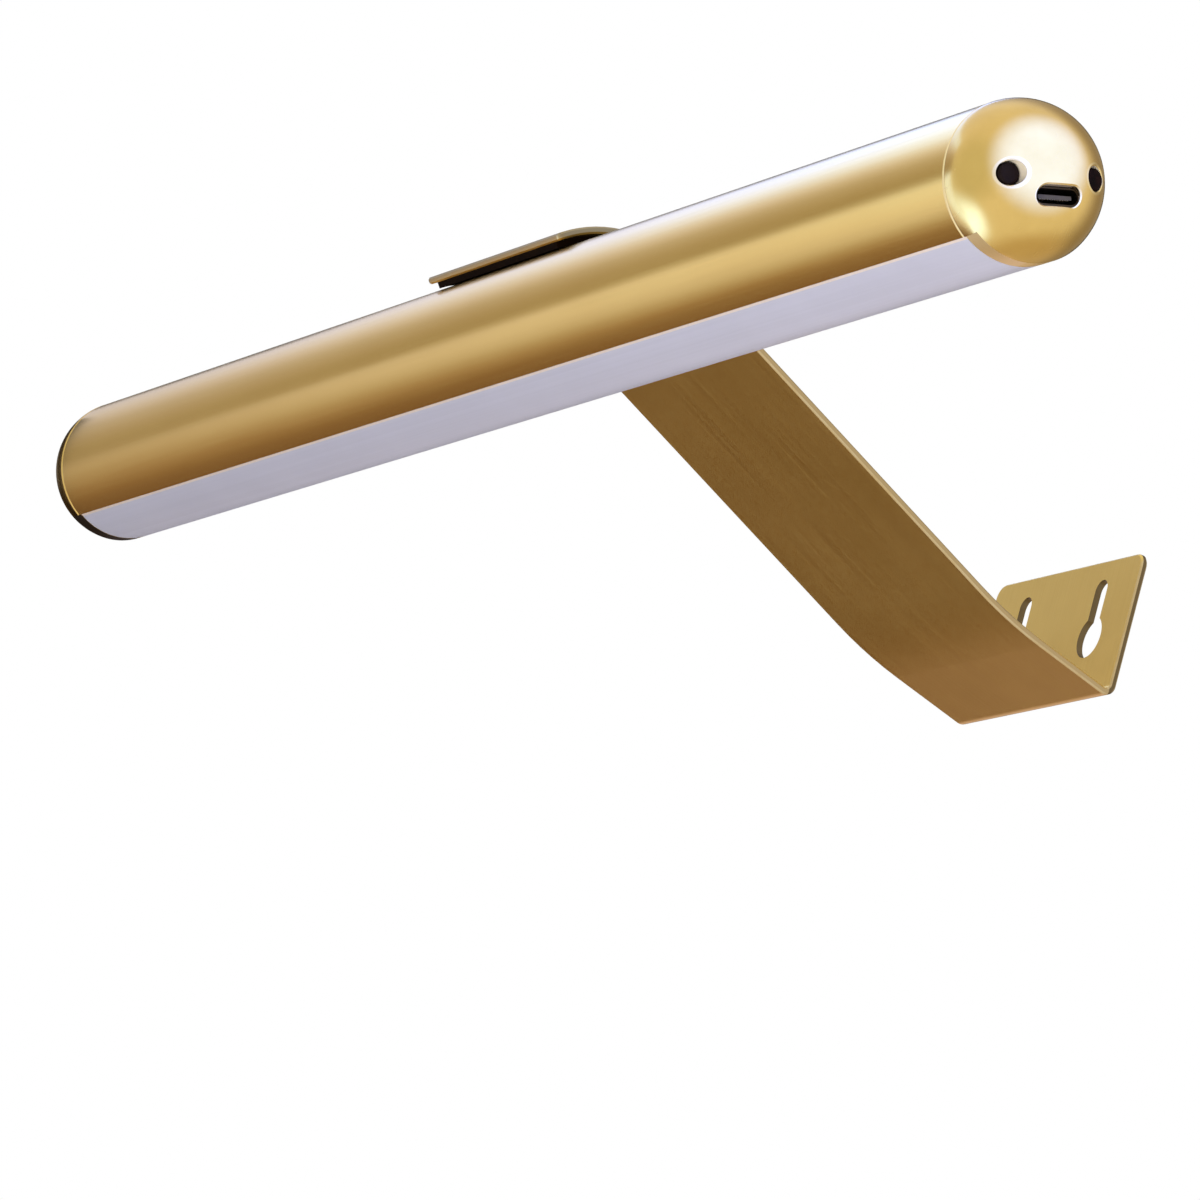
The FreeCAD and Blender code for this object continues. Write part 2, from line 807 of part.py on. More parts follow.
bar_pieces = {
    "housing": housing(),
    "diffuser": diffuser(),
    "board_tray": board_tray(),
    "led_board": led_board(),
    "leds": leds(),
    "strike_plate": strike_plate(),
    "battery_cell_left": battery_cell(-cell_offset),
    "battery_cell_right": battery_cell(cell_offset),
    "battery_cradle_left": battery_cradle(-cell_offset),
    "battery_cradle_right": battery_cradle(cell_offset),
    "contact_plates": contact_plates(),
    "battery_wires": battery_wires(),
    "led_wires": led_wires(),
    "end_cap_port": port_cap(),
    "end_cap_plain": plain_cap().mirror(Vector(0, 0, 0), Vector(1, 0, 0)),
    "control_board": control_board(),
    "board_screws": board_screws(),
    "usb_port_shell": usb_port_shell(),
    "usb_port_tongue": usb_port_tongue(),
    "power_button": power_button(),
    "switch_body": switch_body(),
    "sensor_window": sensor_window(),
    "ir_receiver": ir_receiver(),
}
for name, shape in bar_pieces.items():
    save(name, seated(shape))
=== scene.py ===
import json
import math
from functools import reduce

import bmesh
import bpy
from bpy.props import FloatProperty, FloatVectorProperty, IntProperty, PointerProperty
from mathutils import Matrix, Vector


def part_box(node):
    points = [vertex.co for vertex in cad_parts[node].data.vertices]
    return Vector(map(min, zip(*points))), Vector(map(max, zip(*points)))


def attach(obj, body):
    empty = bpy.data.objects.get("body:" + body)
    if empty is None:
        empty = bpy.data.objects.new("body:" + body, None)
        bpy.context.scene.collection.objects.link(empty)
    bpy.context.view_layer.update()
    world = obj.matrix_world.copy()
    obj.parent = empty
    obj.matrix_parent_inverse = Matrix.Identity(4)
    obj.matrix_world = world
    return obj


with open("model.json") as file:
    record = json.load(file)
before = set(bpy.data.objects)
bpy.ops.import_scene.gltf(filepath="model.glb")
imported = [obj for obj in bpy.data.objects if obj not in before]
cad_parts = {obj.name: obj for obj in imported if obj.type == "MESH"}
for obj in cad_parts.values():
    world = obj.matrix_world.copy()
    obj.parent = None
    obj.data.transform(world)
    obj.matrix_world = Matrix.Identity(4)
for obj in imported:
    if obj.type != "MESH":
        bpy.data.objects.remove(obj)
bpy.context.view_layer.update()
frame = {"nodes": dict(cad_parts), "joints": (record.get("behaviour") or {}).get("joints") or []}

bl_info = {
    "name": "Picture light finishes",
    "version": (1, 0, 0),
    "blender": (4, 5, 0),
    "location": "View3D > Sidebar > Picture Light",
    "description": "Finishes a rechargeable picture light, its wall bracket and its inner pieces",
    "category": "Object",
}

MM = 0.001
WHITE = (1.0, 1.0, 1.0)
LIGHT_BAR = "light_bar"

# Share of its 0 to 1 that a noise nearly always keeps to
NOISE_SPAN = (0.3, 0.7)

# Contact of the charging port, in millimetres: its size, the rounding of its edges, how far it
# lies behind the tongue's front, and how far over or under the tongue's middle
CONTACT = (0.26, 3.4, 0.09)
CONTACT_EDGE = 0.03
CONTACT_BEHIND = 0.25
CONTACT_RISE = 0.37

# Window of an LED, in millimetres: its size, the rounding of its edges, and how far it hangs
# below the LED's middle
WINDOW = (2.7, 2.1, 0.12)
WINDOW_EDGE = 0.05
WINDOW_DROP = 0.4

# LED board, in millimetres: the rails' distance from its middle line and half their width; the
# pads' distance from their LED's middle, half their length and half their width; and how
# softly both end
RAIL = (5.2, 0.65)
PAD = (2.2, 0.575, 1.275)
RAIL_SOFT = 0.1
PAD_SOFT = 0.075

# Lamps: place from the bar axis and side in metres, and power in watts
LAMPS = {
    "key": ((1.75, 0.83, 1.48), 1.2, 14.0),
    "fill": ((0.55, -0.30, -0.40), 0.4, 2.6),
}

# Graded card at the bar's plain end, seen only in reflections: its distance, middle and size,
# the heights over the bar axis between which its lower part blends into the upper one, its
# brightest tone, the angles between which the upper part goes dark, and its tone there. The
# upper tone goes by height over the bar axis, the lower one by the place along Y.
CARD_DISTANCE = 1.8
CARD_MIDDLE = (-0.4, -0.6)
CARD_SIZE = (4.0, 4.2)
CARD_SEAM = (-0.04, 0.09)
CARD_PEAK = 4.4
CARD_WING = (math.radians(58.0), math.radians(68.0))
CARD_DARK = (0.006, 0.005, 0.004)
CARD_ABOVE = (
    (0.09, (0.43, 0.38, 0.34)),
    (0.30, (0.46, 0.41, 0.35)),
    (0.50, (0.53, 0.48, 0.46)),
    (0.68, (0.59, 0.56, 0.58)),
    (0.80, (0.72, 0.70, 0.82)),
    (0.95, (0.91, 0.95, 1.28)),
    (1.20, (1.22, 1.61, 2.90)),
)
CARD_BELOW = (
    (-2.40, (1.15, 1.30, 1.60)),
    (-2.00, (1.40, 1.90, 3.40)),
    (-1.50, (1.40, 1.90, 3.20)),
    (-1.30, (1.05, 1.05, 1.30)),
    (-1.15, (1.00, 0.98, 1.18)),
    (-0.96, (0.86, 0.87, 1.15)),
    (-0.86, (0.68, 0.66, 0.80)),
    (-0.78, (0.54, 0.47, 0.44)),
    (-0.68, (0.41, 0.31, 0.25)),
    (-0.50, (0.32, 0.21, 0.14)),
    (-0.20, (0.21, 0.13, 0.09)),
    (0.15, (0.10, 0.045, 0.01)),
    (0.60, (0.17, 0.085, 0.02)),
    (1.10, (0.88, 0.76, 0.82)),
)

# Black card behind the light, as the camera sees it, that only reflections see: its size, its
# distance from the bar axis, its shift, and the two tones of its nap
BEHIND_SIZE = (1.0, 0.8)
BEHIND_DISTANCE = 1.5
BEHIND_SHIFT = (-0.05, 0.15, -0.1)
BEHIND_NAP = ((0.015, 0.013, 0.012), (0.03, 0.027, 0.025))

# Black half ring past the bar's plain end, seen only in reflections: the side of its sheet, its
# distance from the cap joint, its inner and outer radius, how softly it starts within and
# beyond the inner one, its side of the axis in Y and Z, how far it goes past the axis, and the
# two tones of its nap
RING_SIDE = 0.07
RING_DISTANCE = 0.035
RING_REACH = (0.014, 0.029)
RING_SOFT = (0.006, 0.003)
RING_TOWARDS = (-0.75, -0.66)
RING_BACK = 0.006
RING_NAP = ((0.010, 0.006, 0.003), (0.016, 0.010, 0.005))

# Bright shell round the port cap, seen only in reflections: its radius, its brightest direction
# as azimuth and elevation, the angles where it is full and where it ends, and its tone
SHELL_RADIUS = 0.018
SHELL = (78.5, 7.1, 17.9, 48.9, (1.44, 2.06, 5.90))

# Other tones of the studio seen only in reflections: azimuth from straight at the wall and
# elevation of each one's middle, the angles where it is full and where it ends, its height
# against its width, and its tone
REFLECTED = (
    (-45.0, -45.0, 10.0, 32.0, 1.0, (1.80, 2.60, 5.00)),
    (-138.0, 5.0, 15.0, 58.0, 2.2, (0.36, 0.30, 0.20)),
    (-150.0, -50.0, 15.0, 42.0, 1.0, (0.70, 0.60, 0.44)),
    (-5.0, -5.0, 10.0, 50.0, 1.0, (0.82, 0.84, 0.76)),
)


# ---- Places read from the frame ----

def middle(node):
    low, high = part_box(node)
    return (low + high) / 2


bar_joint = next(joint for joint in frame["joints"] if joint["name"] == "bar_turn")
bar_axis = Vector(bar_joint["pos_m"])
hang = middle("led_board") - bar_axis
bar_tilt = math.atan2(hang.y, -hang.z)
joint_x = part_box("housing")[1].x
cap_middle = bar_axis + Vector((joint_x, 0.0, 0.0))
to_bar = Matrix.Rotation(-bar_tilt, 4, "X") @ Matrix.Translation(-bar_axis)
from_bar = to_bar.inverted()


def direction(azimuth, elevation):
    """Unit vector at those angles: azimuth from straight at the wall, elevation from level."""
    flat = math.cos(elevation)
    return Vector((math.sin(azimuth) * flat, -math.cos(azimuth) * flat, math.sin(elevation)))


# ---- Sizes and colours that a user would change ----

def colour(name, description, default):
    return FloatVectorProperty(name=name, description=description, default=default,
                               subtype="COLOR", size=3, min=0.0, max=1.0)


def number(**kind):
    """Maker of float settings of that kind, from a name, a description and a default."""
    return lambda name, description, default: FloatProperty(
        name=name, description=description, default=default, **kind)


length = number(subtype="DISTANCE", unit="LENGTH", precision=5)
camera_length = number(subtype="DISTANCE_CAMERA")
share = number(subtype="FACTOR", min=0.0, max=1.0)
strength = number(min=0.0)


def angle(name, description, degrees):
    in_radians = number(subtype="ANGLE", unit="ROTATION")
    return in_radians(name, description, math.radians(degrees))


class GoldSettings(bpy.types.PropertyGroup):
    housing: colour("Housing gold", "Brushed and lacquered gold of the tube", (0.84, 0.58, 0.145))
    housing_dark: colour("Housing gold, deep", "Deeper gold in the grain", (0.70, 0.44, 0.085))
    cap: colour("Cap gold", "Polished gold of the end caps", (0.74, 0.50, 0.15))
    cap_dark: colour("Cap gold, deep", "Deeper gold in the caps' haze", (0.63, 0.41, 0.105))
    strip: colour("Strip gold", "Satin gold of the bent strip", (0.82, 0.59, 0.16))
    strip_dark: colour("Strip gold, deep", "Deeper gold in the strip's grain", (0.68, 0.455, 0.10))
    # Painted shade: the strip's underside colours are darker and redder than its top because that
    # side lies in shade.
    under: colour("Strip underside", "Redder gold of the strip's underside", (0.77, 0.475, 0.107))
    shaded_under_dark: colour("Strip underside, deep", "Deeper gold in the underside's grain",
                       (0.63, 0.365, 0.067))
    # Painted highlight in part: along the strip's edges this paler metal is wear and also stands in
    # for the edges' highlight.
    edge: colour("Worn edge", "Paler metal along worn edges", (0.95, 0.83, 0.55))
    # Painted highlight: the paler ring round each opening of the cap stands in for the highlight on
    # its chamfered edge.
    rim: colour("Opening rim", "Paler metal round the openings in the cap", (0.85, 0.68, 0.34))
    # Painted highlight: the round openings' inner sides are pale and not metal, so that they merge
    # with the highlight round them.
    wall: colour("Opening wall", "Inner wall of the round openings in the cap", (1.00, 0.87, 0.66))
    step: colour("Cap step", "Satin gold of the step over the diffuser's end", (0.86, 0.60, 0.24))
    # Painted shade: the step over the diffuser's end is near black on the plain cap because it lies
    # in shade there.
    shade: colour("Cap step, plain end", "Blackened step of the plain cap", (0.03, 0.018, 0.008))
    cut: colour("Cut edge", "Dull metal on the strip's sheared sides", (0.46, 0.33, 0.16))
    # Painted shade: the strip's free end, over the tube, is darker because it lies in shade.
    shaded_lip: colour("Lip edge", "Duller metal round the strip's free end", (0.27, 0.225, 0.15))
    # Painted shade: the wall plate's slots and the faces round its rim are dark because they lie in
    # shade.
    punched_shade: colour("Punched edge", "Dark metal in the wall plate's slots and round its rim",
                    (0.16, 0.11, 0.05))
    sheet: length("Sheet", "Thickness of the strip", 1.4 * MM)
    housing_roughness: share("Housing roughness", "Roughness of the brushed tube", 0.2)
    cap_roughness: share("Cap roughness", "Roughness of the polished caps", 0.2)
    strip_roughness: share("Strip roughness", "Roughness of the satin strip", 0.36)
    grain: length("Grain", "Spacing of the brushed lines", 0.16 * MM)
    grain_depth: length("Grain depth", "Depth of the brushed lines", 0.0018 * MM)


class PlasticSettings(bpy.types.PropertyGroup):
    milky: colour("Diffuser", "Milky plastic of the diffuser", (0.71, 0.695, 0.83))
    # Painted highlight: the pale pinkish edges of the diffuser stand in for the light caught along
    # them.
    milky_edge_highlight: colour("Diffuser edge", "Paler cut edges of the diffuser", (0.95, 0.80, 0.74))
    black: colour("Black plastic", "Moulded black plastic", (0.018, 0.018, 0.02))
    tongue: colour("Port tongue", "Dark grey plastic of the port's tongue", (0.11, 0.095, 0.085))
    rubber: colour("Pad rubber", "Foam rubber of the saddle pad", (0.008, 0.004, 0.002))
    button: colour("Button", "Black cap of the power button", (0.012, 0.007, 0.005))
    window: colour("Window", "Dark window over the receiver", (0.008, 0.005, 0.005))
    cradle: colour("Cradle", "Black plastic of the cells' cradles", (0.03, 0.03, 0.033))
    milky_roughness: share("Diffuser roughness", "Roughness of the diffuser", 0.42)
    milky_spread: angle("Diffuser spread", "Half of the arc that the diffuser covers", 47.4)


class ElectricSettings(bpy.types.PropertyGroup):
    board_white: colour("LED board", "White mask of the LED board", (0.82, 0.83, 0.82))
    board_green: colour("Control board", "Green mask of the control board", (0.02, 0.17, 0.08))
    copper: colour("Tinned copper", "Tinned pads and tracks", (0.75, 0.72, 0.66))
    wrap: colour("Cell wrap", "Shrink wrap of the battery cells", (0.05, 0.22, 0.42))
    red_wire: colour("Red wire", "Cover of the plus wires", (0.55, 0.02, 0.02))
    black_wire: colour("Black wire", "Cover of the minus wires", (0.02, 0.02, 0.02))
    phosphor: colour("LED phosphor", "Yellow window of an LED", (0.85, 0.62, 0.08))
    flux: colour("Flux", "Brown that flux leaves on the LEDs", (0.72, 0.62, 0.42))
    nickel: colour("Nickel", "Plating of the saddle's magnets", (0.72, 0.70, 0.66))
    dark_nickel: colour("Dark nickel", "Plating of the port's shell", (0.06, 0.035, 0.012))
    gilt: colour("Gilt", "Plating of the port's contacts", (0.85, 0.62, 0.28))
    tray: colour("Tray", "Drawn aluminium of the board tray", (0.70, 0.71, 0.72))
    steel: colour("Steel", "Strike plate, screws and contact plates", (0.62, 0.61, 0.59))
    led_pitch: length("LED pitch", "Spacing of the LEDs along their board", 12.0 * MM)
    contact_count: IntProperty(name="Contacts", default=12, min=1,
                               description="Contacts on each side of the port's tongue")
    contact_pitch: length("Contact pitch", "Spacing of the port's contacts", 0.5 * MM)


class StageSettings(bpy.types.PropertyGroup):
    floor_drop: length("Floor drop", "From the wall plate's middle down to the floor", 2.0)
    floor_size: length("Floor size", "Side of the floor", 14.0)
    paper: colour("Paper", "Pale floor and backdrop", (0.86, 0.86, 0.86))
    paper_glow: strength("Paper glow", "Light that makes the floor white as a background", 0.6)
    sky_strength: strength("Sky strength", "Soft light from above", 0.5)
    ground_strength: strength("Ground strength", "Soft light from below", 0.15)
    view_azimuth: angle("View azimuth", "Direction of the view, from straight at the wall", 65.63)
    view_elevation: angle("View elevation", "Height of the view above the horizon", -15.03)
    view_roll: angle("View roll", "Turn of the camera about its own line of sight", 15.5)
    view_distance: length("View distance", "Camera to the point it looks at", 1.45)
    view_aim: FloatVectorProperty(name="View aim", description="Point the camera looks at",
                                  default=(0.0919, -0.1410, -0.0547), subtype="TRANSLATION",
                                  unit="LENGTH", precision=4)
    view_lens: camera_length("Lens", "Focal length in millimetres", 240.32)
    view_sensor: camera_length("Sensor", "Width of the sensor in millimetres", 36.0)


def settings(group):
    return getattr(bpy.context.scene, "picture_light_" + group)


# ---- Node helpers ----

def add(tree, kind, inputs=None, **attributes):
    """A node with its attributes set; each input takes a value or another node's output."""
    node = tree.nodes.new(kind)
    for name, value in attributes.items():
        setattr(node, name, value)
    for key, value in (inputs or {}).items():
        if isinstance(value, bpy.types.NodeSocket):
            tree.links.new(value, node.inputs[key])
        else:
            node.inputs[key].default_value = value
    return node


def rgba(value):
    return (*value, 1.0)


def scaled(tint, by):
    return tuple(c * by for c in tint)


def calc(tree, operation, a, b=0.0):
    return add(tree, "ShaderNodeMath", {0: a, 1: b}, operation=operation).outputs[0]


def chain(operation):
    """Maker of a function that joins any number of values by that operation, from the left."""
    return lambda tree, *values: reduce(lambda a, b: calc(tree, operation, a, b), values)


plus = chain("ADD")
minus = chain("SUBTRACT")
times = chain("MULTIPLY")
largest = chain("MAXIMUM")


def absolute(tree, a):
    return calc(tree, "ABSOLUTE", a)


def weighed(tree, *pairs):
    """Sum of each value times its weight."""
    return plus(tree, *(times(tree, *pair) for pair in pairs))


def hypotenuse(tree, a, b):
    return calc(tree, "SQRT", weighed(tree, (a, a), (b, b)))


def remap(tree, value, low, high, new_low=0.0, new_high=1.0):
    """value from low..high to new_low..new_high, held at both ends."""
    return add(tree, "ShaderNodeMapRange", {
        "Value": value, "From Min": low, "From Max": high, "To Min": new_low,
        "To Max": new_high}).outputs["Result"]


def fade(tree, value, low, high):
    """1 where value is below low, less above it, 0 from high on."""
    return remap(tree, value, low, high, 1.0, 0.0)


def blend(tree, portion, first, second):
    """Mix of two colours: all of the second where portion is 1."""
    ends = [tint if isinstance(tint, bpy.types.NodeSocket) else rgba(tint)
            for tint in (first, second)]
    return add(tree, "ShaderNodeMix", {0: portion, 6: ends[0], 7: ends[1]},
               data_type="RGBA").outputs[2]


def vector_calc(tree, operation, inputs):
    return add(tree, "ShaderNodeVectorMath", inputs, operation=operation).outputs[0]


def row_millimetres(tree):
    """Place on the piece in the row frame, in millimetres."""
    place = add(tree, "ShaderNodeTexCoord").outputs["Object"]
    return vector_calc(tree, "SCALE", {0: place, "Scale": 1 / MM})


def away_from(tree, point):
    """Place on the piece, in metres from that point of the row frame."""
    place = add(tree, "ShaderNodeTexCoord").outputs["Object"]
    return vector_calc(tree, "SUBTRACT", {0: place, 1: point})


def bar_millimetres(tree):
    """Place in the light bar's own frame: X along it, Z up through its back, in millimetres."""
    return add(tree, "ShaderNodeMapping", {
        "Vector": away_from(tree, bar_axis), "Rotation": (-bar_tilt, 0.0, 0.0),
        "Scale": (1 / MM,) * 3}).outputs[0]


def parts_of(tree, vector):
    return add(tree, "ShaderNodeSeparateXYZ", {0: vector}).outputs


def facing(tree):
    """Parts of the direction that the surface faces at rest."""
    return parts_of(tree, add(tree, "ShaderNodeTexCoord").outputs["Normal"])


def swing(tree, place):
    """Angle round the bar axis from straight out of the diffuser, the same to both sides."""
    _, y, z = parts_of(tree, place)
    return absolute(tree, calc(tree, "ARCTAN2", y, times(tree, z, -1.0)))


def noise(tree, vector, size, detail=3.0, coarseness=0.55):
    """Even noise, 0 to 1, whose lumps are size millimetres across."""
    return add(tree, "ShaderNodeTexNoise", {
        "Vector": vector, "Scale": 1.0 / size, "Detail": detail,
        "Roughness": coarseness}).outputs["Fac"]


def streaks(tree, vector, run, width, detail=2.0):
    """Noise drawn out into lines: run gives each axis its own lump length in millimetres, or 0
    for the lines' width."""
    scale = tuple(1.0 / (lump or width) for lump in run)
    laid = add(tree, "ShaderNodeMapping", {"Vector": vector, "Scale": scale}).outputs[0]
    return noise(tree, laid, 1.0, detail, 0.6)


def rough_from(tree, value, low, high):
    """Roughness that goes from low to high as that noise does."""
    return remap(tree, value, *NOISE_SPAN, low, high)


def bump(tree, height, depth, under=None):
    """Relief of that depth in millimetres where height goes from 0 to 1."""
    inputs = {"Height": height, "Distance": depth * MM, "Strength": 1.0}
    if under is not None:
        inputs["Normal"] = under
    return add(tree, "ShaderNodeBump", inputs).outputs[0]


def finish(name, build):
    """New material whose one shader comes from build(tree)."""
    material = bpy.data.materials.new(name)
    material.use_nodes = True
    tree = material.node_tree
    tree.nodes.clear()
    shader = build(tree)
    add(tree, "ShaderNodeOutputMaterial", {"Surface": shader.outputs[0]})
    return material


def principled(tree, inputs):
    return add(tree, "ShaderNodeBsdfPrincipled", inputs)


def mottled(tree, patches, span, tints, rough, relief, more=None):
    """Shader whose colour goes from one tint to the other as patches goes over its span; rough
    is what rough_from takes, relief what bump takes."""
    low, high, most = span
    body = blend(tree, remap(tree, patches, low, high, 0.0, most), *tints)
    return principled(tree, {
        "Base Color": body, "Roughness": rough_from(tree, *rough),
        "Normal": bump(tree, *relief), **(more or {})})


def dress(name, build, *nodes):
    """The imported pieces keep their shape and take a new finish."""
    material = finish(name, build)
    for node in nodes:
        for slot in frame["nodes"][node].material_slots:
            slot.link = "OBJECT"
            slot.material = material


# ---- Metal finishes ----

def brushed_gold(tree):
    """Tube drawn and brushed along its length, under clear lacquer; worn pale at its ends."""
    look = settings("gold")
    place = bar_millimetres(tree)
    grain = streaks(tree, place, (45.0, 0, 0), look.grain / MM)
    bands = streaks(tree, place, (160.0, 0, 0), 2.2, 1.0)
    clouds = noise(tree, place, 38.0, 2.0)
    deep = weighed(tree, (grain, 0.35), (clouds, 0.5), (bands, 0.25))
    body = blend(tree, remap(tree, deep, 0.3, 0.85, 0.15, 0.65), look.housing, look.housing_dark)
    end = absolute(tree, parts_of(tree, place)["X"])
    joint = joint_x / MM
    worn = remap(tree, end, joint - 0.5, joint - 0.1, 0.0, 0.8)
    usual = look.housing_roughness
    around = add(tree, "ShaderNodeTangent", direction_type="RADIAL", axis="X").outputs[0]
    return principled(tree, {
        "Base Color": blend(tree, worn, body, look.edge), "Metallic": 1.0,
        "Roughness": rough_from(tree, grain, usual - 0.03, usual + 0.06),
        "Anisotropic": 0.2, "Tangent": around, "Coat Weight": 0.25, "Coat Roughness": 0.12,
        "Normal": bump(tree, grain, look.grain_depth / MM)})


def reach_of_opening(tree, place, node):
    """Place's distance from the middle line of the opening round that piece, and the piece's
    own, in millimetres."""
    low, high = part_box(node)
    half = (high - low) / MM / 2
    lean = math.sin(abs(bar_tilt))
    straight = max(0.0, (half.y - half.z) / (math.cos(bar_tilt) - lean))
    radius = half.z - straight * lean
    centre = to_bar @ middle(node) / MM
    _, y, z = parts_of(tree, place)
    across = absolute(tree, minus(tree, y, centre.y))
    past = largest(tree, minus(tree, across, straight), 0.0)
    return hypotenuse(tree, past, minus(tree, z, centre.z)), radius


def opening_masks(tree, place):
    """Masks of the painted highlights round the cap's three openings, and of the round ones' inner
    sides, which take a painted highlight too.
    """
    rim_highlights, highlit_walls = [], []
    for node in ("power_button", "sensor_window", "usb_port_shell"):
        out, radius = reach_of_opening(tree, place, node)
        rim_highlights.append(remap(tree, out, radius + 0.10, radius + 0.30, 0.6, 0.0))
        if node != "usb_port_shell":
            highlit_walls.append(fade(tree, out, radius - 0.1, radius))
    return largest(tree, *rim_highlights), largest(tree, *highlit_walls)


def polished_gold(tree):
    """Plated cap: smooth, with faint haze, orange peel and hairlines; a painted highlight round its
    openings and on their inner sides, satin on the step over the diffuser's end, painted shade
    on that step at the plain end."""
    look = settings("gold")
    place = bar_millimetres(tree)
    along = parts_of(tree, place)["X"]
    haze = noise(tree, place, 9.0, 4.0)
    peel = noise(tree, place, 1.1, 2.0)
    hairs = streaks(tree, place, (6.0, 0.12, 2.5), 1.0, 2.0)
    body = blend(tree, remap(tree, haze, 0.35, 0.7, 0.0, 0.6), look.cap, look.cap_dark)
    usual = look.cap_roughness
    marks = remap(tree, hairs, 0.62, 0.72, 0.0, 0.35)
    rough = plus(tree, rough_from(tree, haze, usual - 0.03, usual + 0.05),
                 times(tree, marks, 0.15))
    sideways = fade(tree, absolute(tree, facing(tree)["X"]), 0.02, 0.06)
    rim_highlights, highlit_walls = opening_masks(tree, place)
    joint = joint_x / MM
    past_joint = remap(tree, along, joint, joint + 0.5)
    highlit_walls = times(tree, highlit_walls, sideways, past_joint)
    spread = settings("plastic").milky_spread
    over_diffuser = fade(tree, swing(tree, place), spread, spread + math.radians(0.5))
    step = times(tree, over_diffuser, sideways, minus(tree, 1.0, highlit_walls))
    # Painted shade on the step at the plain end, where X is negative; the satin step colour at the
    # port end.
    step_tint_and_shade = blend(tree, remap(tree, along, -1.0, 1.0), look.shade, look.step)
    # Painted highlight round the openings.
    tint = blend(tree, times(tree, rim_highlights, past_joint), body, look.rim)
    # Painted highlight: the openings' inner sides take a pale tone and no metal.
    tint = blend(tree, highlit_walls, tint, look.wall)
    return principled(tree, {
        "Base Color": blend(tree, step, tint, step_tint_and_shade),
        "Metallic": minus(tree, 1.0, highlit_walls),
        "Roughness": largest(tree, rough, times(tree, step, 0.55)),
        "Coat Weight": 0.3, "Coat Roughness": 0.06,
        "Normal": bump(tree, hairs, 0.0006, bump(tree, peel, 0.0022))})


def satin_strip(tree):
    """Strip brushed along its run, then plated: painted shade makes it darker and redder below,
    at its free end, and in the wall plate's slots and round its rim; paler at its worn
    corners, which also paints their highlight; dull on its cut sides."""
    look = settings("gold")
    place = row_millimetres(tree)
    x, y, z = parts_of(tree, place)
    front = facing(tree)
    grain = streaks(tree, place, (0, 30.0, 30.0), look.grain / MM)
    clouds = noise(tree, place, 24.0)
    tone = remap(tree, weighed(tree, (grain, 0.3), (clouds, 0.7)), 0.35, 0.7, 0.1, 0.7)
    # Painted shade: faces that look down take the darker, redder underside colours.
    below = fade(tree, front["Z"], -0.3, -0.1)
    tint = blend(tree, tone, blend(tree, below, look.strip, look.under),
                 blend(tree, below, look.strip_dark, look.shaded_under_dark))
    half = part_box("bracket_arm")[1].x / MM
    # Paler edges: wear in patches, which also paints the highlight along the strip's rounded edges.
    worn = times(tree, remap(tree, absolute(tree, x), half - 0.45, half - 0.15),
                 remap(tree, noise(tree, place, 3.0), 0.3, 0.6, 0.35, 0.9))
    cut = remap(tree, absolute(tree, front["X"]), 0.5, 0.8)
    sheet = look.sheet / MM
    # Painted shade in the wall plate's slots and on the faces round its rim.
    punched_shade = times(tree, remap(tree, y, -sheet - 0.05, -sheet + 0.05),
                    fade(tree, absolute(tree, front["Y"]), 0.5, 0.7))
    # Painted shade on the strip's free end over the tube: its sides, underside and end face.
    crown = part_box("housing")[1].z / MM
    end_face = fade(tree, front["Y"], -0.7, -0.4)
    shaded_lip = times(tree, remap(tree, z, crown - 3.0, crown - 1.0), largest(tree, cut, below, end_face))
    for mask, metal in ((worn, look.edge), (cut, look.cut), (punched_shade, look.punched_shade),
                        (shaded_lip, look.shaded_lip)):
        tint = blend(tree, mask, tint, metal)
    usual = look.strip_roughness
    return principled(tree, {
        "Base Color": tint, "Metallic": 1.0, "Coat Weight": 0.06, "Coat Roughness": 0.2,
        "Roughness": rough_from(tree, grain, usual - 0.04, usual + 0.07),
        "Normal": bump(tree, grain, look.grain_depth / MM)})


def plain_metal(tint, roughness, grain_run, lump):
    """Maker for a bare metal: rolled grain along grain_run and stains lump across."""
    def build(tree):
        place = bar_millimetres(tree)
        grain = streaks(tree, place, (grain_run, 0, 0), 0.2)
        stain = noise(tree, place, lump, 4.0)
        return mottled(tree, stain, (0.35, 0.7, 1.0), (tint, scaled(tint, 0.72)),
                       (grain, roughness - 0.05, roughness + 0.08), (grain, 0.004),
                       {"Metallic": 1.0})
    return build


# ---- Plastic and rubber finishes ----

def milky_plastic(tree):
    """Extruded diffuser: milky body, faint draw lines along it, a painted highlight along its cut
    edges.
    """
    look = settings("plastic")
    place = bar_millimetres(tree)
    lines = streaks(tree, place, (220.0, 0, 0), 0.9, 2.0)
    cloud = noise(tree, place, 30.0, 2.0)
    fine = noise(tree, place, 0.25, 2.0)
    patches = weighed(tree, (lines, 0.5), (cloud, 0.5))
    body = blend(tree, remap(tree, patches, 0.35, 0.65), look.milky, scaled(look.milky, 0.93))
    half = look.milky_spread
    # Painted highlight along the diffuser's edges.
    edge = remap(tree, swing(tree, place), half - math.radians(2.6), half - math.radians(2.1))
    usual = look.milky_roughness
    return principled(tree, {
        "Base Color": blend(tree, edge, body, look.milky_edge_highlight),
        "Roughness": rough_from(tree, fine, usual - 0.04, usual + 0.04),
        "IOR": 1.49, "Subsurface Weight": 0.25, "Subsurface Radius": (1.2, 1.2, 1.3),
        "Subsurface Scale": 1.0 * MM,
        "Normal": bump(tree, lines, 0.004, bump(tree, fine, 0.001))})


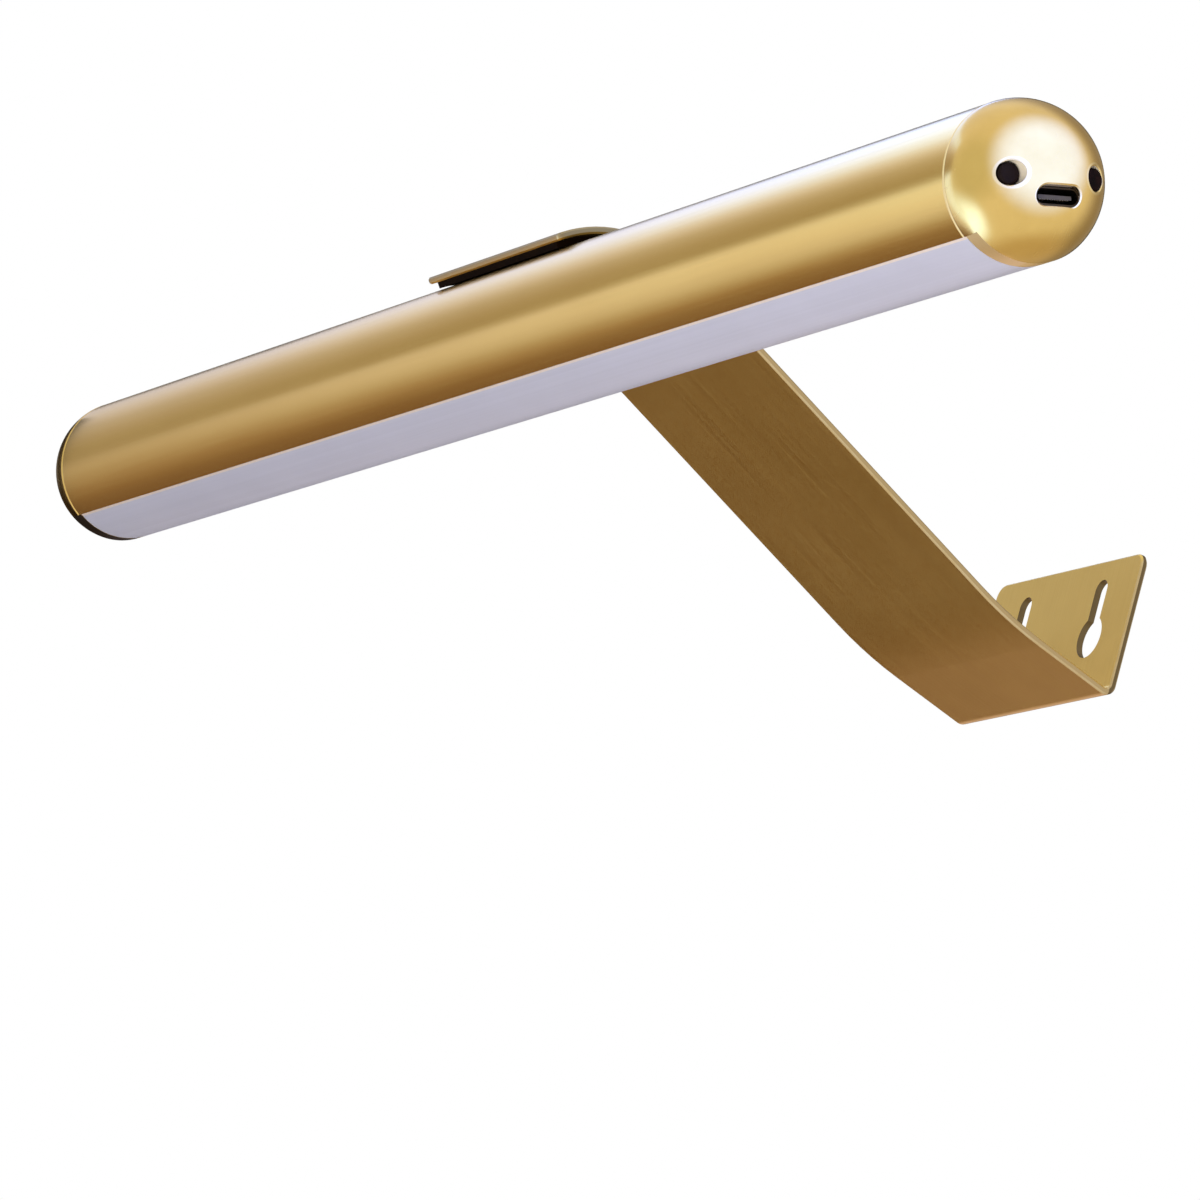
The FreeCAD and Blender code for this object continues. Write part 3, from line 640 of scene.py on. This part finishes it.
def moulded(tint, roughness, lump=0.35, depth=0.006, shine=0.5):
    """Maker for a moulded plastic with a fine spark-eroded texture, lump across."""
    def build(tree):
        place = bar_millimetres(tree)
        spark = noise(tree, place, lump)
        wipe = noise(tree, place, 4.0)
        lighter = tuple(min(1.0, c * 1.6 + 0.004) for c in tint)
        return mottled(tree, wipe, (0.4, 0.75, 0.6), (tint, lighter),
                       (wipe, roughness - 0.05, roughness + 0.06), (spark, depth),
                       {"Specular IOR Level": shine})
    return build


def foam_rubber(tree):
    """Closed-cell foam: small pores, dull, dusty in patches."""
    tint = settings("plastic").rubber
    place = row_millimetres(tree)
    cells = add(tree, "ShaderNodeTexVoronoi", {"Vector": place, "Scale": 3.2})
    dust = noise(tree, place, 5.0, 4.0)
    return mottled(tree, dust, (0.45, 0.8, 0.6), (tint, tuple(c * 2.5 + 0.002 for c in tint)),
                   (dust, 0.82, 0.95), (cells.outputs["Distance"], 0.05),
                   {"Specular IOR Level": 0.04})


def infrared_window(tree):
    """Glossy dark red plastic that looks black."""
    tint = settings("plastic").window
    swirl = noise(tree, bar_millimetres(tree), 1.6)
    warmer = (tint[0] * 2 + 0.004, tint[1] * 1.5, tint[2] * 1.5)
    return mottled(tree, swirl, (0.35, 0.7, 1.0), (tint, warmer), (swirl, 0.2, 0.32),
                   (swirl, 0.002), {"Specular IOR Level": 0.03})


# ---- Finishes of the electric pieces ----

def led_board_finish(tree):
    """White mask with two copper rails that show through it and tinned pads at each LED."""
    look = settings("electric")
    place = bar_millimetres(tree)
    x, y, _ = parts_of(tree, place)
    across = absolute(tree, y)
    off = absolute(tree, minus(tree, across, RAIL[0]))
    rail = remap(tree, off, RAIL[1] - RAIL_SOFT, RAIL[1] + RAIL_SOFT, 0.35, 0.0)
    half = look.led_pitch / MM / 2
    along = absolute(tree, minus(tree, calc(tree, "PINGPONG", x, half), half - PAD[0]))
    pad = times(tree, fade(tree, along, PAD[1] - PAD_SOFT, PAD[1] + PAD_SOFT),
                fade(tree, across, PAD[2] - PAD_SOFT, PAD[2] + PAD_SOFT))
    grime = noise(tree, place, 6.0, 4.0)
    white = look.board_white
    mask = blend(tree, remap(tree, grime, 0.4, 0.75, 0.0, 0.3), white, scaled(white, 0.8))
    railed = blend(tree, rail, mask, scaled(white, 0.86))
    return principled(tree, {
        "Base Color": blend(tree, pad, railed, look.copper), "Metallic": pad,
        "Roughness": rough_from(tree, grime, 0.38, 0.5), "Normal": bump(tree, rail, 0.05)})


def control_board_finish(tree):
    """Green mask with raised tracks, tinned dots and a glass weave below."""
    look = settings("electric")
    place = bar_millimetres(tree)
    cells = add(tree, "ShaderNodeTexVoronoi", {"Vector": place, "Scale": 0.55, "Randomness": 0.7},
                distance="MANHATTAN")
    turns = calc(tree, "FRACT", times(tree, cells.outputs["Distance"], 2.2))
    track = fade(tree, absolute(tree, minus(tree, turns, 0.5)), 0.16, 0.22)
    dots = add(tree, "ShaderNodeTexVoronoi", {"Vector": place, "Scale": 0.42, "Randomness": 0.35})
    pad = fade(tree, dots.outputs["Distance"], 0.13, 0.17)
    weave = noise(tree, place, 0.5, 1.0)
    green = look.board_green
    mask = blend(tree, times(tree, track, 0.8), green, scaled(green, 1.7))
    return principled(tree, {
        "Base Color": blend(tree, pad, mask, look.copper), "Metallic": pad,
        "Roughness": rough_from(tree, weave, 0.25, 0.4),
        "Normal": bump(tree, track, 0.035, bump(tree, weave, 0.01))})


def led_case(tree):
    """White ceramic-filled case, browned a little by its flux."""
    flux = noise(tree, bar_millimetres(tree), 1.2)
    look = settings("electric")
    return mottled(tree, flux, (0.5, 0.8, 0.4), (look.board_white, look.flux),
                   (flux, 0.35, 0.5), (flux, 0.01))


def phosphor_gel(tree):
    """Silicone over the LED's die, coloured by its phosphor."""
    grains = noise(tree, bar_millimetres(tree), 0.15)
    tint = settings("electric").phosphor
    return mottled(tree, grains, (0.35, 0.65, 1.0), (tint, scaled(tint, 0.82)),
                   (grains, 0.2, 0.32), (grains, 0.004),
                   {"Coat Weight": 0.5, "Coat Roughness": 0.08})


def shrink_wrap(tree):
    """Cell's shrink wrap: drawn ripples along it and faint stains."""
    place = bar_millimetres(tree)
    ripple = streaks(tree, place, (14.0, 0, 0), 0.8, 3.0)
    stain = noise(tree, place, 7.0)
    tint = settings("electric").wrap
    return mottled(tree, stain, (0.4, 0.75, 0.5), (tint, scaled(tint, 0.7)),
                   (ripple, 0.26, 0.4), (ripple, 0.05),
                   {"Coat Weight": 0.3, "Coat Roughness": 0.2})


def wire_cover(tree):
    """Silicone wire cover: red on one side of the bar's middle plane, black on the other."""
    look = settings("electric")
    place = bar_millimetres(tree)
    chalk = noise(tree, place, 1.5)
    side = remap(tree, parts_of(tree, place)["Y"], -0.5, 0.5)
    tints = blend(tree, side, look.red_wire, look.black_wire), (0.8, 0.8, 0.8)
    return mottled(tree, chalk, (0.5, 0.8, 0.15), tints, (chalk, 0.45, 0.6), (chalk, 0.008))


# ---- Repeated small pieces ----

def mesh_from(name, shape):
    """Mesh of that bmesh, which ends there."""
    mesh = bpy.data.meshes.new(name)
    shape.to_mesh(mesh)
    shape.free()
    return mesh


def new_object(name, data):
    made = bpy.data.objects.new(name, data)
    bpy.context.scene.collection.objects.link(made)
    return made


def row_tree():
    """Geometry tree that copies a piece along a straight row centred on its middle, then sets
    the row in its place on the bar; and the identifier of each of its inputs by name."""
    tree = bpy.data.node_groups.new("Row of pieces", "GeometryNodeTree")

    def socket(name, kind, in_out="INPUT"):
        return tree.interface.new_socket(name, in_out=in_out,
                                         socket_type="NodeSocket" + kind).identifier

    socket("Geometry", "Geometry")
    socket("Geometry", "Geometry", "OUTPUT")
    names = {name: socket(name, kind) for name, kind in (
        ("Count", "Int"), ("Pitch", "Float"), ("Place", "Vector"), ("Turn", "Rotation"),
        ("Finish", "Material"))}
    given = add(tree, "NodeGroupInput").outputs
    half = times(tree, minus(tree, given["Count"], 1.0), given["Pitch"], -0.5)
    start = add(tree, "ShaderNodeCombineXYZ", {"X": half}).outputs[0]
    step = add(tree, "ShaderNodeCombineXYZ", {"X": given["Pitch"]}).outputs[0]
    points = add(tree, "GeometryNodeMeshLine", {
        "Count": given["Count"], "Start Location": start, "Offset": step}).outputs[0]
    copies = add(tree, "GeometryNodeInstanceOnPoints", {
        "Points": points, "Instance": given["Geometry"]}).outputs[0]
    placed = add(tree, "GeometryNodeTransform", {
        "Geometry": copies, "Translation": given["Place"], "Rotation": given["Turn"]}).outputs[0]
    whole = add(tree, "GeometryNodeRealizeInstances", {"Geometry": placed}).outputs[0]
    done = add(tree, "GeometryNodeSetMaterial", {
        "Geometry": whole, "Material": given["Finish"]}).outputs[0]
    add(tree, "NodeGroupOutput", {"Geometry": done})
    return tree, names


def row_of(name, mesh, values):
    """A piece's mesh repeated by the row tree and made one plain mesh that rides on the bar."""
    tree, names = row_tree()
    piece = new_object(name, mesh)
    modifier = piece.modifiers.new("Row", "NODES")
    modifier.node_group = tree
    for key, value in values.items():
        modifier[names[key]] = value
    evaluated = piece.evaluated_get(bpy.context.evaluated_depsgraph_get())
    piece.data = bpy.data.meshes.new_from_object(evaluated)
    piece.modifiers.remove(modifier)
    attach(piece, LIGHT_BAR)


def rounded_block(name, size, radius):
    """Small block with rounded edges, its middle at the origin."""
    shape = bmesh.new()
    bmesh.ops.create_cube(shape, size=1.0)
    bmesh.ops.scale(shape, vec=size, verts=shape.verts)
    bmesh.ops.bevel(shape, geom=shape.edges[:], offset=radius, segments=2, affect="EDGES",
                    profile=0.5)
    bmesh.ops.recalc_face_normals(shape, faces=shape.faces)
    return mesh_from(name, shape)


# ---- Operators: one for each piece or group of like pieces ----

class FinishBracket(bpy.types.Operator):
    """Give the bent strip its satin gold"""
    bl_idname = "picture_light.finish_bracket"
    bl_label = "Finish bracket"

    def execute(self, context):
        dress("satin_strip_gold", satin_strip, "bracket_arm")
        return {"FINISHED"}


class FinishSaddle(bpy.types.Operator):
    """Give the saddle pad its foam rubber and its magnets their nickel"""
    bl_idname = "picture_light.finish_saddle"
    bl_label = "Finish saddle"

    def execute(self, context):
        nickel = plain_metal(settings("electric").nickel, 0.25, 4.0, 3.0)
        dress("saddle_foam_rubber", foam_rubber, "saddle_pad")
        dress("magnet_nickel", nickel, "saddle_magnets")
        return {"FINISHED"}


class FinishHousing(bpy.types.Operator):
    """Give the tube its brushed gold"""
    bl_idname = "picture_light.finish_housing"
    bl_label = "Finish housing"

    def execute(self, context):
        dress("brushed_housing_gold", brushed_gold, "housing")
        return {"FINISHED"}


class FinishCaps(bpy.types.Operator):
    """Give both end caps their polished gold"""
    bl_idname = "picture_light.finish_caps"
    bl_label = "Finish end caps"

    def execute(self, context):
        dress("polished_cap_gold", polished_gold, "end_cap_port", "end_cap_plain")
        return {"FINISHED"}


class FinishDiffuser(bpy.types.Operator):
    """Give the diffuser its milky plastic"""
    bl_idname = "picture_light.finish_diffuser"
    bl_label = "Finish diffuser"

    def execute(self, context):
        dress("milky_diffuser_plastic", milky_plastic, "diffuser")
        return {"FINISHED"}


class FinishControls(bpy.types.Operator):
    """Give the power button, its switch, the sensor window and its receiver their plastics"""
    bl_idname = "picture_light.finish_controls"
    bl_label = "Finish button and window"

    def execute(self, context):
        look = settings("plastic")
        button = moulded(look.button, 0.5, 0.3, 0.004, 0.03)
        dress("button_black_plastic", button, "power_button")
        dress("infrared_window_plastic", infrared_window, "sensor_window")
        dress("moulded_black_plastic", moulded(look.black, 0.5), "switch_body", "ir_receiver")
        return {"FINISHED"}


class FinishPort(bpy.types.Operator):
    """Give the charging port its dark metal shell, and its tongue a row of contacts each side"""
    bl_idname = "picture_light.finish_port"
    bl_label = "Finish charging port"

    def execute(self, context):
        look = settings("electric")
        plastic = moulded(settings("plastic").tongue, 0.4, 0.2, 0.003, 0.1)
        dress("port_shell_black_nickel", plain_metal(look.dark_nickel, 0.4, 5.0, 2.0),
              "usb_port_shell")
        dress("port_tongue_plastic", plastic, "usb_port_tongue")
        contact = Vector(CONTACT) * MM
        start = to_bar @ middle("usb_port_tongue")
        start.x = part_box("usb_port_tongue")[1].x - contact.y / 2 - CONTACT_BEHIND * MM
        across = Matrix.Rotation(bar_tilt, 4, "X") @ Matrix.Rotation(math.radians(90), 4, "Z")
        row = {"Count": look.contact_count, "Pitch": look.contact_pitch, "Turn": across.to_euler(),
               "Finish": finish("contact_gilt", plain_metal(look.gilt, 0.25, 3.0, 1.0))}
        for side, name in ((1, "port_contacts_upper"), (-1, "port_contacts_lower")):
            spot = start + Vector((0.0, 0.0, side * CONTACT_RISE * MM))
            row_of(name, rounded_block(name, contact, CONTACT_EDGE * MM),
                   {**row, "Place": from_bar @ spot})
        return {"FINISHED"}


class FinishLedBoard(bpy.types.Operator):
    """Give the LED board, its tray and its LEDs their finishes, and each LED its window"""
    bl_idname = "picture_light.finish_led_board"
    bl_label = "Finish LED board"

    def execute(self, context):
        look = settings("electric")
        dress("led_board_mask", led_board_finish, "led_board")
        dress("tray_aluminium", plain_metal(look.tray, 0.4, 60.0, 12.0), "board_tray")
        dress("led_case_white", led_case, "leds")
        low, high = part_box("leds")
        spot = to_bar @ middle("leds") - Vector((0.0, 0.0, WINDOW_DROP * MM))
        gel = rounded_block("led_windows", Vector(WINDOW) * MM, WINDOW_EDGE * MM)
        row = {"Count": round((high.x - low.x) / look.led_pitch), "Pitch": look.led_pitch,
               "Place": from_bar @ spot, "Turn": Matrix.Rotation(bar_tilt, 4, "X").to_euler(),
               "Finish": finish("led_phosphor_gel", phosphor_gel)}
        row_of("led_windows", gel, row)
        return {"FINISHED"}


class FinishInnerPieces(bpy.types.Operator):
    """Give the cells, cradles, wires, contacts, strike plate, board and screws their finishes"""
    bl_idname = "picture_light.finish_inner_pieces"
    bl_label = "Finish inner pieces"

    def execute(self, context):
        cradle = moulded(settings("plastic").cradle, 0.55, 0.5, 0.01)
        steel = plain_metal(settings("electric").steel, 0.32, 25.0, 5.0)
        dress("cell_shrink_wrap", shrink_wrap, "battery_cell_left", "battery_cell_right")
        dress("cradle_plastic", cradle, "battery_cradle_left", "battery_cradle_right")
        dress("bright_steel", steel, "strike_plate", "board_screws", "contact_plates")
        dress("silicone_wire_cover", wire_cover, "battery_wires", "led_wires")
        dress("control_board_mask", control_board_finish, "control_board")
        return {"FINISHED"}


# ---- Stage ----

def stage_piece(name, shape, material, shown=False):
    """Stage piece of that shape; unless it is shown, only reflections see it."""
    mesh = mesh_from(name, shape)
    mesh.materials.append(material)
    piece = new_object(name, mesh)
    if not shown:
        for rays in ("camera", "diffuse", "transmission", "shadow"):
            setattr(piece, "visible_" + rays, False)


def panel(name, size, place, towards, material, shown=False):
    """Flat stage piece of that size whose front looks towards a point."""
    shape = bmesh.new()
    bmesh.ops.create_grid(shape, x_segments=1, y_segments=1, size=0.5)
    bmesh.ops.scale(shape, vec=(*size, 1.0), verts=shape.verts)
    aim = (towards - place).to_track_quat("Z", "Y").to_matrix().to_4x4()
    bmesh.ops.transform(shape, matrix=Matrix.Translation(place) @ aim, verts=shape.verts)
    stage_piece(name, shape, material, shown)


def shell_round(name, centre, radius, material):
    """Round stage piece that only reflections see."""
    shape = bmesh.new()
    bmesh.ops.create_uvsphere(shape, u_segments=64, v_segments=32, radius=radius)
    bmesh.ops.translate(shape, vec=centre, verts=shape.verts)
    for face in shape.faces:
        face.smooth = True
    stage_piece(name, shape, material)


def glow(tree, tint, power):
    return add(tree, "ShaderNodeEmission", {"Color": tint, "Strength": power})


def clear(tree):
    return add(tree, "ShaderNodeBsdfTransparent")


def between(tree, portion, first, second):
    """Mix of two shaders: all of the second where portion is 1."""
    return add(tree, "ShaderNodeMixShader", {0: portion, 1: first.outputs[0],
                                             2: second.outputs[0]})


def background_rays(tree):
    """1 for rays that should see the white background, else 0."""
    path = add(tree, "ShaderNodeLightPath").outputs
    return largest(tree, *(path[f"Is {kind} Ray"] for kind in ("Camera", "Glossy", "Transmission")))


def paper(tree):
    """Pale floor paper, lit up to white where the background is seen; open from below and in
    reflections, which see the studio beyond it."""
    look = settings("stage")
    fibre = noise(tree, row_millimetres(tree), 14.0)
    tint = blend(tree, remap(tree, fibre, *NOISE_SPAN), look.paper, scaled(look.paper, 0.985))
    sheet = add(tree, "ShaderNodeBsdfDiffuse", {"Color": tint,
                                                "Normal": bump(tree, fibre, 0.02)})
    light = glow(tree, rgba(WHITE), times(tree, background_rays(tree), look.paper_glow))
    lit = add(tree, "ShaderNodeAddShader", {0: sheet.outputs[0], 1: light.outputs[0]})
    below = add(tree, "ShaderNodeNewGeometry").outputs["Backfacing"]
    mirrored = add(tree, "ShaderNodeLightPath").outputs["Is Glossy Ray"]
    return between(tree, largest(tree, below, mirrored), lit, clear(tree))


def tone_ramp(tree, value, stops):
    """Colour that goes through the stops as value does, as shares of CARD_PEAK."""
    first, last = stops[0][0], stops[-1][0]
    ramp = add(tree, "ShaderNodeValToRGB", {"Fac": remap(tree, value, first, last)})
    elements = ramp.color_ramp.elements
    for level, _ in stops[1:-1]:
        elements.new((level - first) / (last - first))
    for element, (_, tone) in zip(elements, stops):
        element.color = rgba(scaled(tone, 1 / CARD_PEAK))
    return ramp.outputs["Color"]


def graded_card(tree):
    """Tall card: a dark band that grows paler upwards, over a seam with a side-lit lower part."""
    _, y, z = parts_of(tree, away_from(tree, bar_axis))
    wing = fade(tree, calc(tree, "ARCTAN2", z, y), *CARD_WING)
    above = blend(tree, wing, tone_ramp(tree, z, CARD_ABOVE), CARD_DARK)
    below = tone_ramp(tree, y, CARD_BELOW)
    tone = blend(tree, remap(tree, z, *CARD_SEAM), below, above)
    return glow(tree, tone, CARD_PEAK)


def velvet(tree, deep, pale):
    """Nearly black nap; it glows faintly itself, so that the lamps don't grey it."""
    nap = noise(tree, row_millimetres(tree), 3.0)
    return glow(tree, blend(tree, nap, deep, pale), 1.0)


def black_card(tree):
    """Velvet card behind the light that draws its outline in reflections."""
    return velvet(tree, *BEHIND_NAP)


def black_ring(tree):
    """Velvet half ring past the bar's plain end that draws that end's outline in reflections."""
    _, y, z = parts_of(tree, away_from(tree, bar_axis))
    reach = hypotenuse(tree, y, z)
    inner, outer = RING_REACH
    before, after = RING_SOFT
    side = weighed(tree, (y, RING_TOWARDS[0]), (z, RING_TOWARDS[1]))
    cover = times(tree, remap(tree, reach, inner - before, inner + after),
                  fade(tree, reach, outer, outer + MM),
                  remap(tree, side, -RING_BACK - MM, -RING_BACK))
    return between(tree, cover, clear(tree), velvet(tree, *RING_NAP))


def nearness(tree, way, azimuth, elevation, inner, outer, tall=1.0):
    """1 where way is within inner degrees of that direction, 0 beyond outer."""
    towards = direction(math.radians(azimuth), math.radians(elevation))
    towards.z /= tall
    squat = vector_calc(tree, "MULTIPLY", {0: way, 1: (1.0, 1.0, 1.0 / tall)})
    near = add(tree, "ShaderNodeVectorMath", {0: vector_calc(tree, "NORMALIZE", {0: squat}),
                                              1: towards.normalized()}, operation="DOT_PRODUCT")
    return add(tree, "ShaderNodeMapRange", {
        "Value": near.outputs["Value"], "From Min": math.cos(math.radians(outer)),
        "From Max": math.cos(math.radians(inner))}, interpolation_type="SMOOTHSTEP").outputs[0]


def bright_shell(tree):
    """Thin shell that glows in one direction round the port cap and is clear elsewhere."""
    *spread, tone = SHELL
    light = glow(tree, rgba(scaled(tone, 1 / max(tone))), max(tone))
    return between(tree, nearness(tree, away_from(tree, cap_middle), *spread), clear(tree), light)


def studio_world():
    """White behind everything; softer light from below than from above; graded in reflections."""
    look = settings("stage")
    world = bpy.data.worlds.new("Studio")
    bpy.context.scene.world = world
    world.use_nodes = True
    tree = world.node_tree
    tree.nodes.clear()
    way = add(tree, "ShaderNodeTexCoord").outputs["Generated"]
    mirrored = WHITE
    for *spread, tone in REFLECTED:
        mirrored = blend(tree, nearness(tree, way, *spread), mirrored, tone)
    glossy = add(tree, "ShaderNodeLightPath").outputs["Is Glossy Ray"]
    soft = remap(tree, parts_of(tree, way)["Z"], -0.5, 0.5, look.ground_strength,
                 look.sky_strength)
    power = add(tree, "ShaderNodeMix", {0: background_rays(tree), 2: soft, 3: 1.0},
                data_type="FLOAT").outputs[0]
    shade = add(tree, "ShaderNodeBackground", {
        "Color": blend(tree, glossy, WHITE, mirrored), "Strength": power})
    add(tree, "ShaderNodeOutputWorld", {"Surface": shade.outputs[0]})


def soft_box(name, place, side, watts):
    """Square lamp at that place from the bar axis, turned towards it; reflections don't see it."""
    data = bpy.data.lights.new(name, "AREA")
    data.shape = "SQUARE"
    data.size = side
    data.energy = watts
    lamp = new_object(name, data)
    lamp.location = bar_axis + Vector(place)
    lamp.rotation_euler = (-Vector(place)).to_track_quat("-Z", "Y").to_euler()
    lamp.visible_glossy = False


def aim_camera():
    look = settings("stage")
    back = direction(look.view_azimuth, look.view_elevation)
    data = bpy.data.cameras.new("View")
    data.sensor_width = look.view_sensor
    data.lens = look.view_lens
    data.clip_start = 0.05
    data.clip_end = 50.0
    camera = new_object("View", data)
    aim = (-back).to_track_quat("-Z", "Y").to_matrix().to_4x4()
    camera.matrix_world = (Matrix.Translation(Vector(look.view_aim) + back * look.view_distance)
                           @ aim @ Matrix.Rotation(look.view_roll, 4, "Z"))
    bpy.context.scene.camera = camera


class SetStage(bpy.types.Operator):
    """Make the floor, the lamps, the cards that reflections see, the world and the camera"""
    bl_idname = "picture_light.set_stage"
    bl_label = "Set stage"

    def execute(self, context):
        look = settings("stage")
        context.scene.view_settings.view_transform = "Standard"
        floor = Vector((0.0, 0.0, -look.floor_drop))
        panel("floor", (look.floor_size,) * 2, floor, floor + Vector((0.0, 0.0, 1.0)),
              finish("floor_paper", paper), True)
        studio_world()
        aim_camera()
        for name, lamp in LAMPS.items():
            soft_box(name, *lamp)
        along = Vector((1.0, 0.0, 0.0))
        card = bar_axis + Vector((-CARD_DISTANCE, *CARD_MIDDLE))
        panel("graded_card", CARD_SIZE, card, card + along, finish("graded_card_face", graded_card))
        behind = context.scene.camera.matrix_world.to_3x3() @ Vector((0.0, 0.0, -1.0))
        panel("black_card", BEHIND_SIZE, bar_axis + BEHIND_DISTANCE * behind + Vector(BEHIND_SHIFT),
              bar_axis, finish("black_card_face", black_card))
        shell_round("bright_shell", cap_middle, SHELL_RADIUS,
                    finish("bright_shell_face", bright_shell))
        ring = bar_axis - (joint_x + RING_DISTANCE) * along
        panel("black_ring", (RING_SIDE,) * 2, ring, ring + along,
              finish("black_ring_face", black_ring))
        return {"FINISHED"}


# ---- Panel and registration ----

operators = (FinishBracket, FinishSaddle, FinishHousing, FinishCaps, FinishDiffuser,
             FinishControls, FinishPort, FinishLedBoard, FinishInnerPieces, SetStage)
groups = {"gold": GoldSettings, "plastic": PlasticSettings, "electric": ElectricSettings,
          "stage": StageSettings}


class PictureLightPanel(bpy.types.Panel):
    """Lists the steps that finish the picture light"""
    bl_idname = "VIEW3D_PT_picture_light"
    bl_label = "Picture Light"
    bl_space_type = "VIEW_3D"
    bl_region_type = "UI"
    bl_category = "Picture Light"

    def draw(self, context):
        for operator in operators:
            self.layout.operator(operator.bl_idname)
        for name, group in groups.items():
            box = self.layout.box()
            box.label(text=name.capitalize())
            for value in group.__annotations__:
                box.prop(settings(name), value)


def register():
    for made in (*groups.values(), *operators, PictureLightPanel):
        bpy.utils.register_class(made)
    for name, group in groups.items():
        setattr(bpy.types.Scene, "picture_light_" + name, PointerProperty(type=group))


def unregister():
    for name in groups:
        delattr(bpy.types.Scene, "picture_light_" + name)
    for made in reversed((*groups.values(), *operators, PictureLightPanel)):
        bpy.utils.unregister_class(made)


def main():
    register()
    for operator in operators:
        group, name = operator.bl_idname.split(".")
        getattr(getattr(bpy.ops, group), name)()


if __name__ == "__main__":
    main()
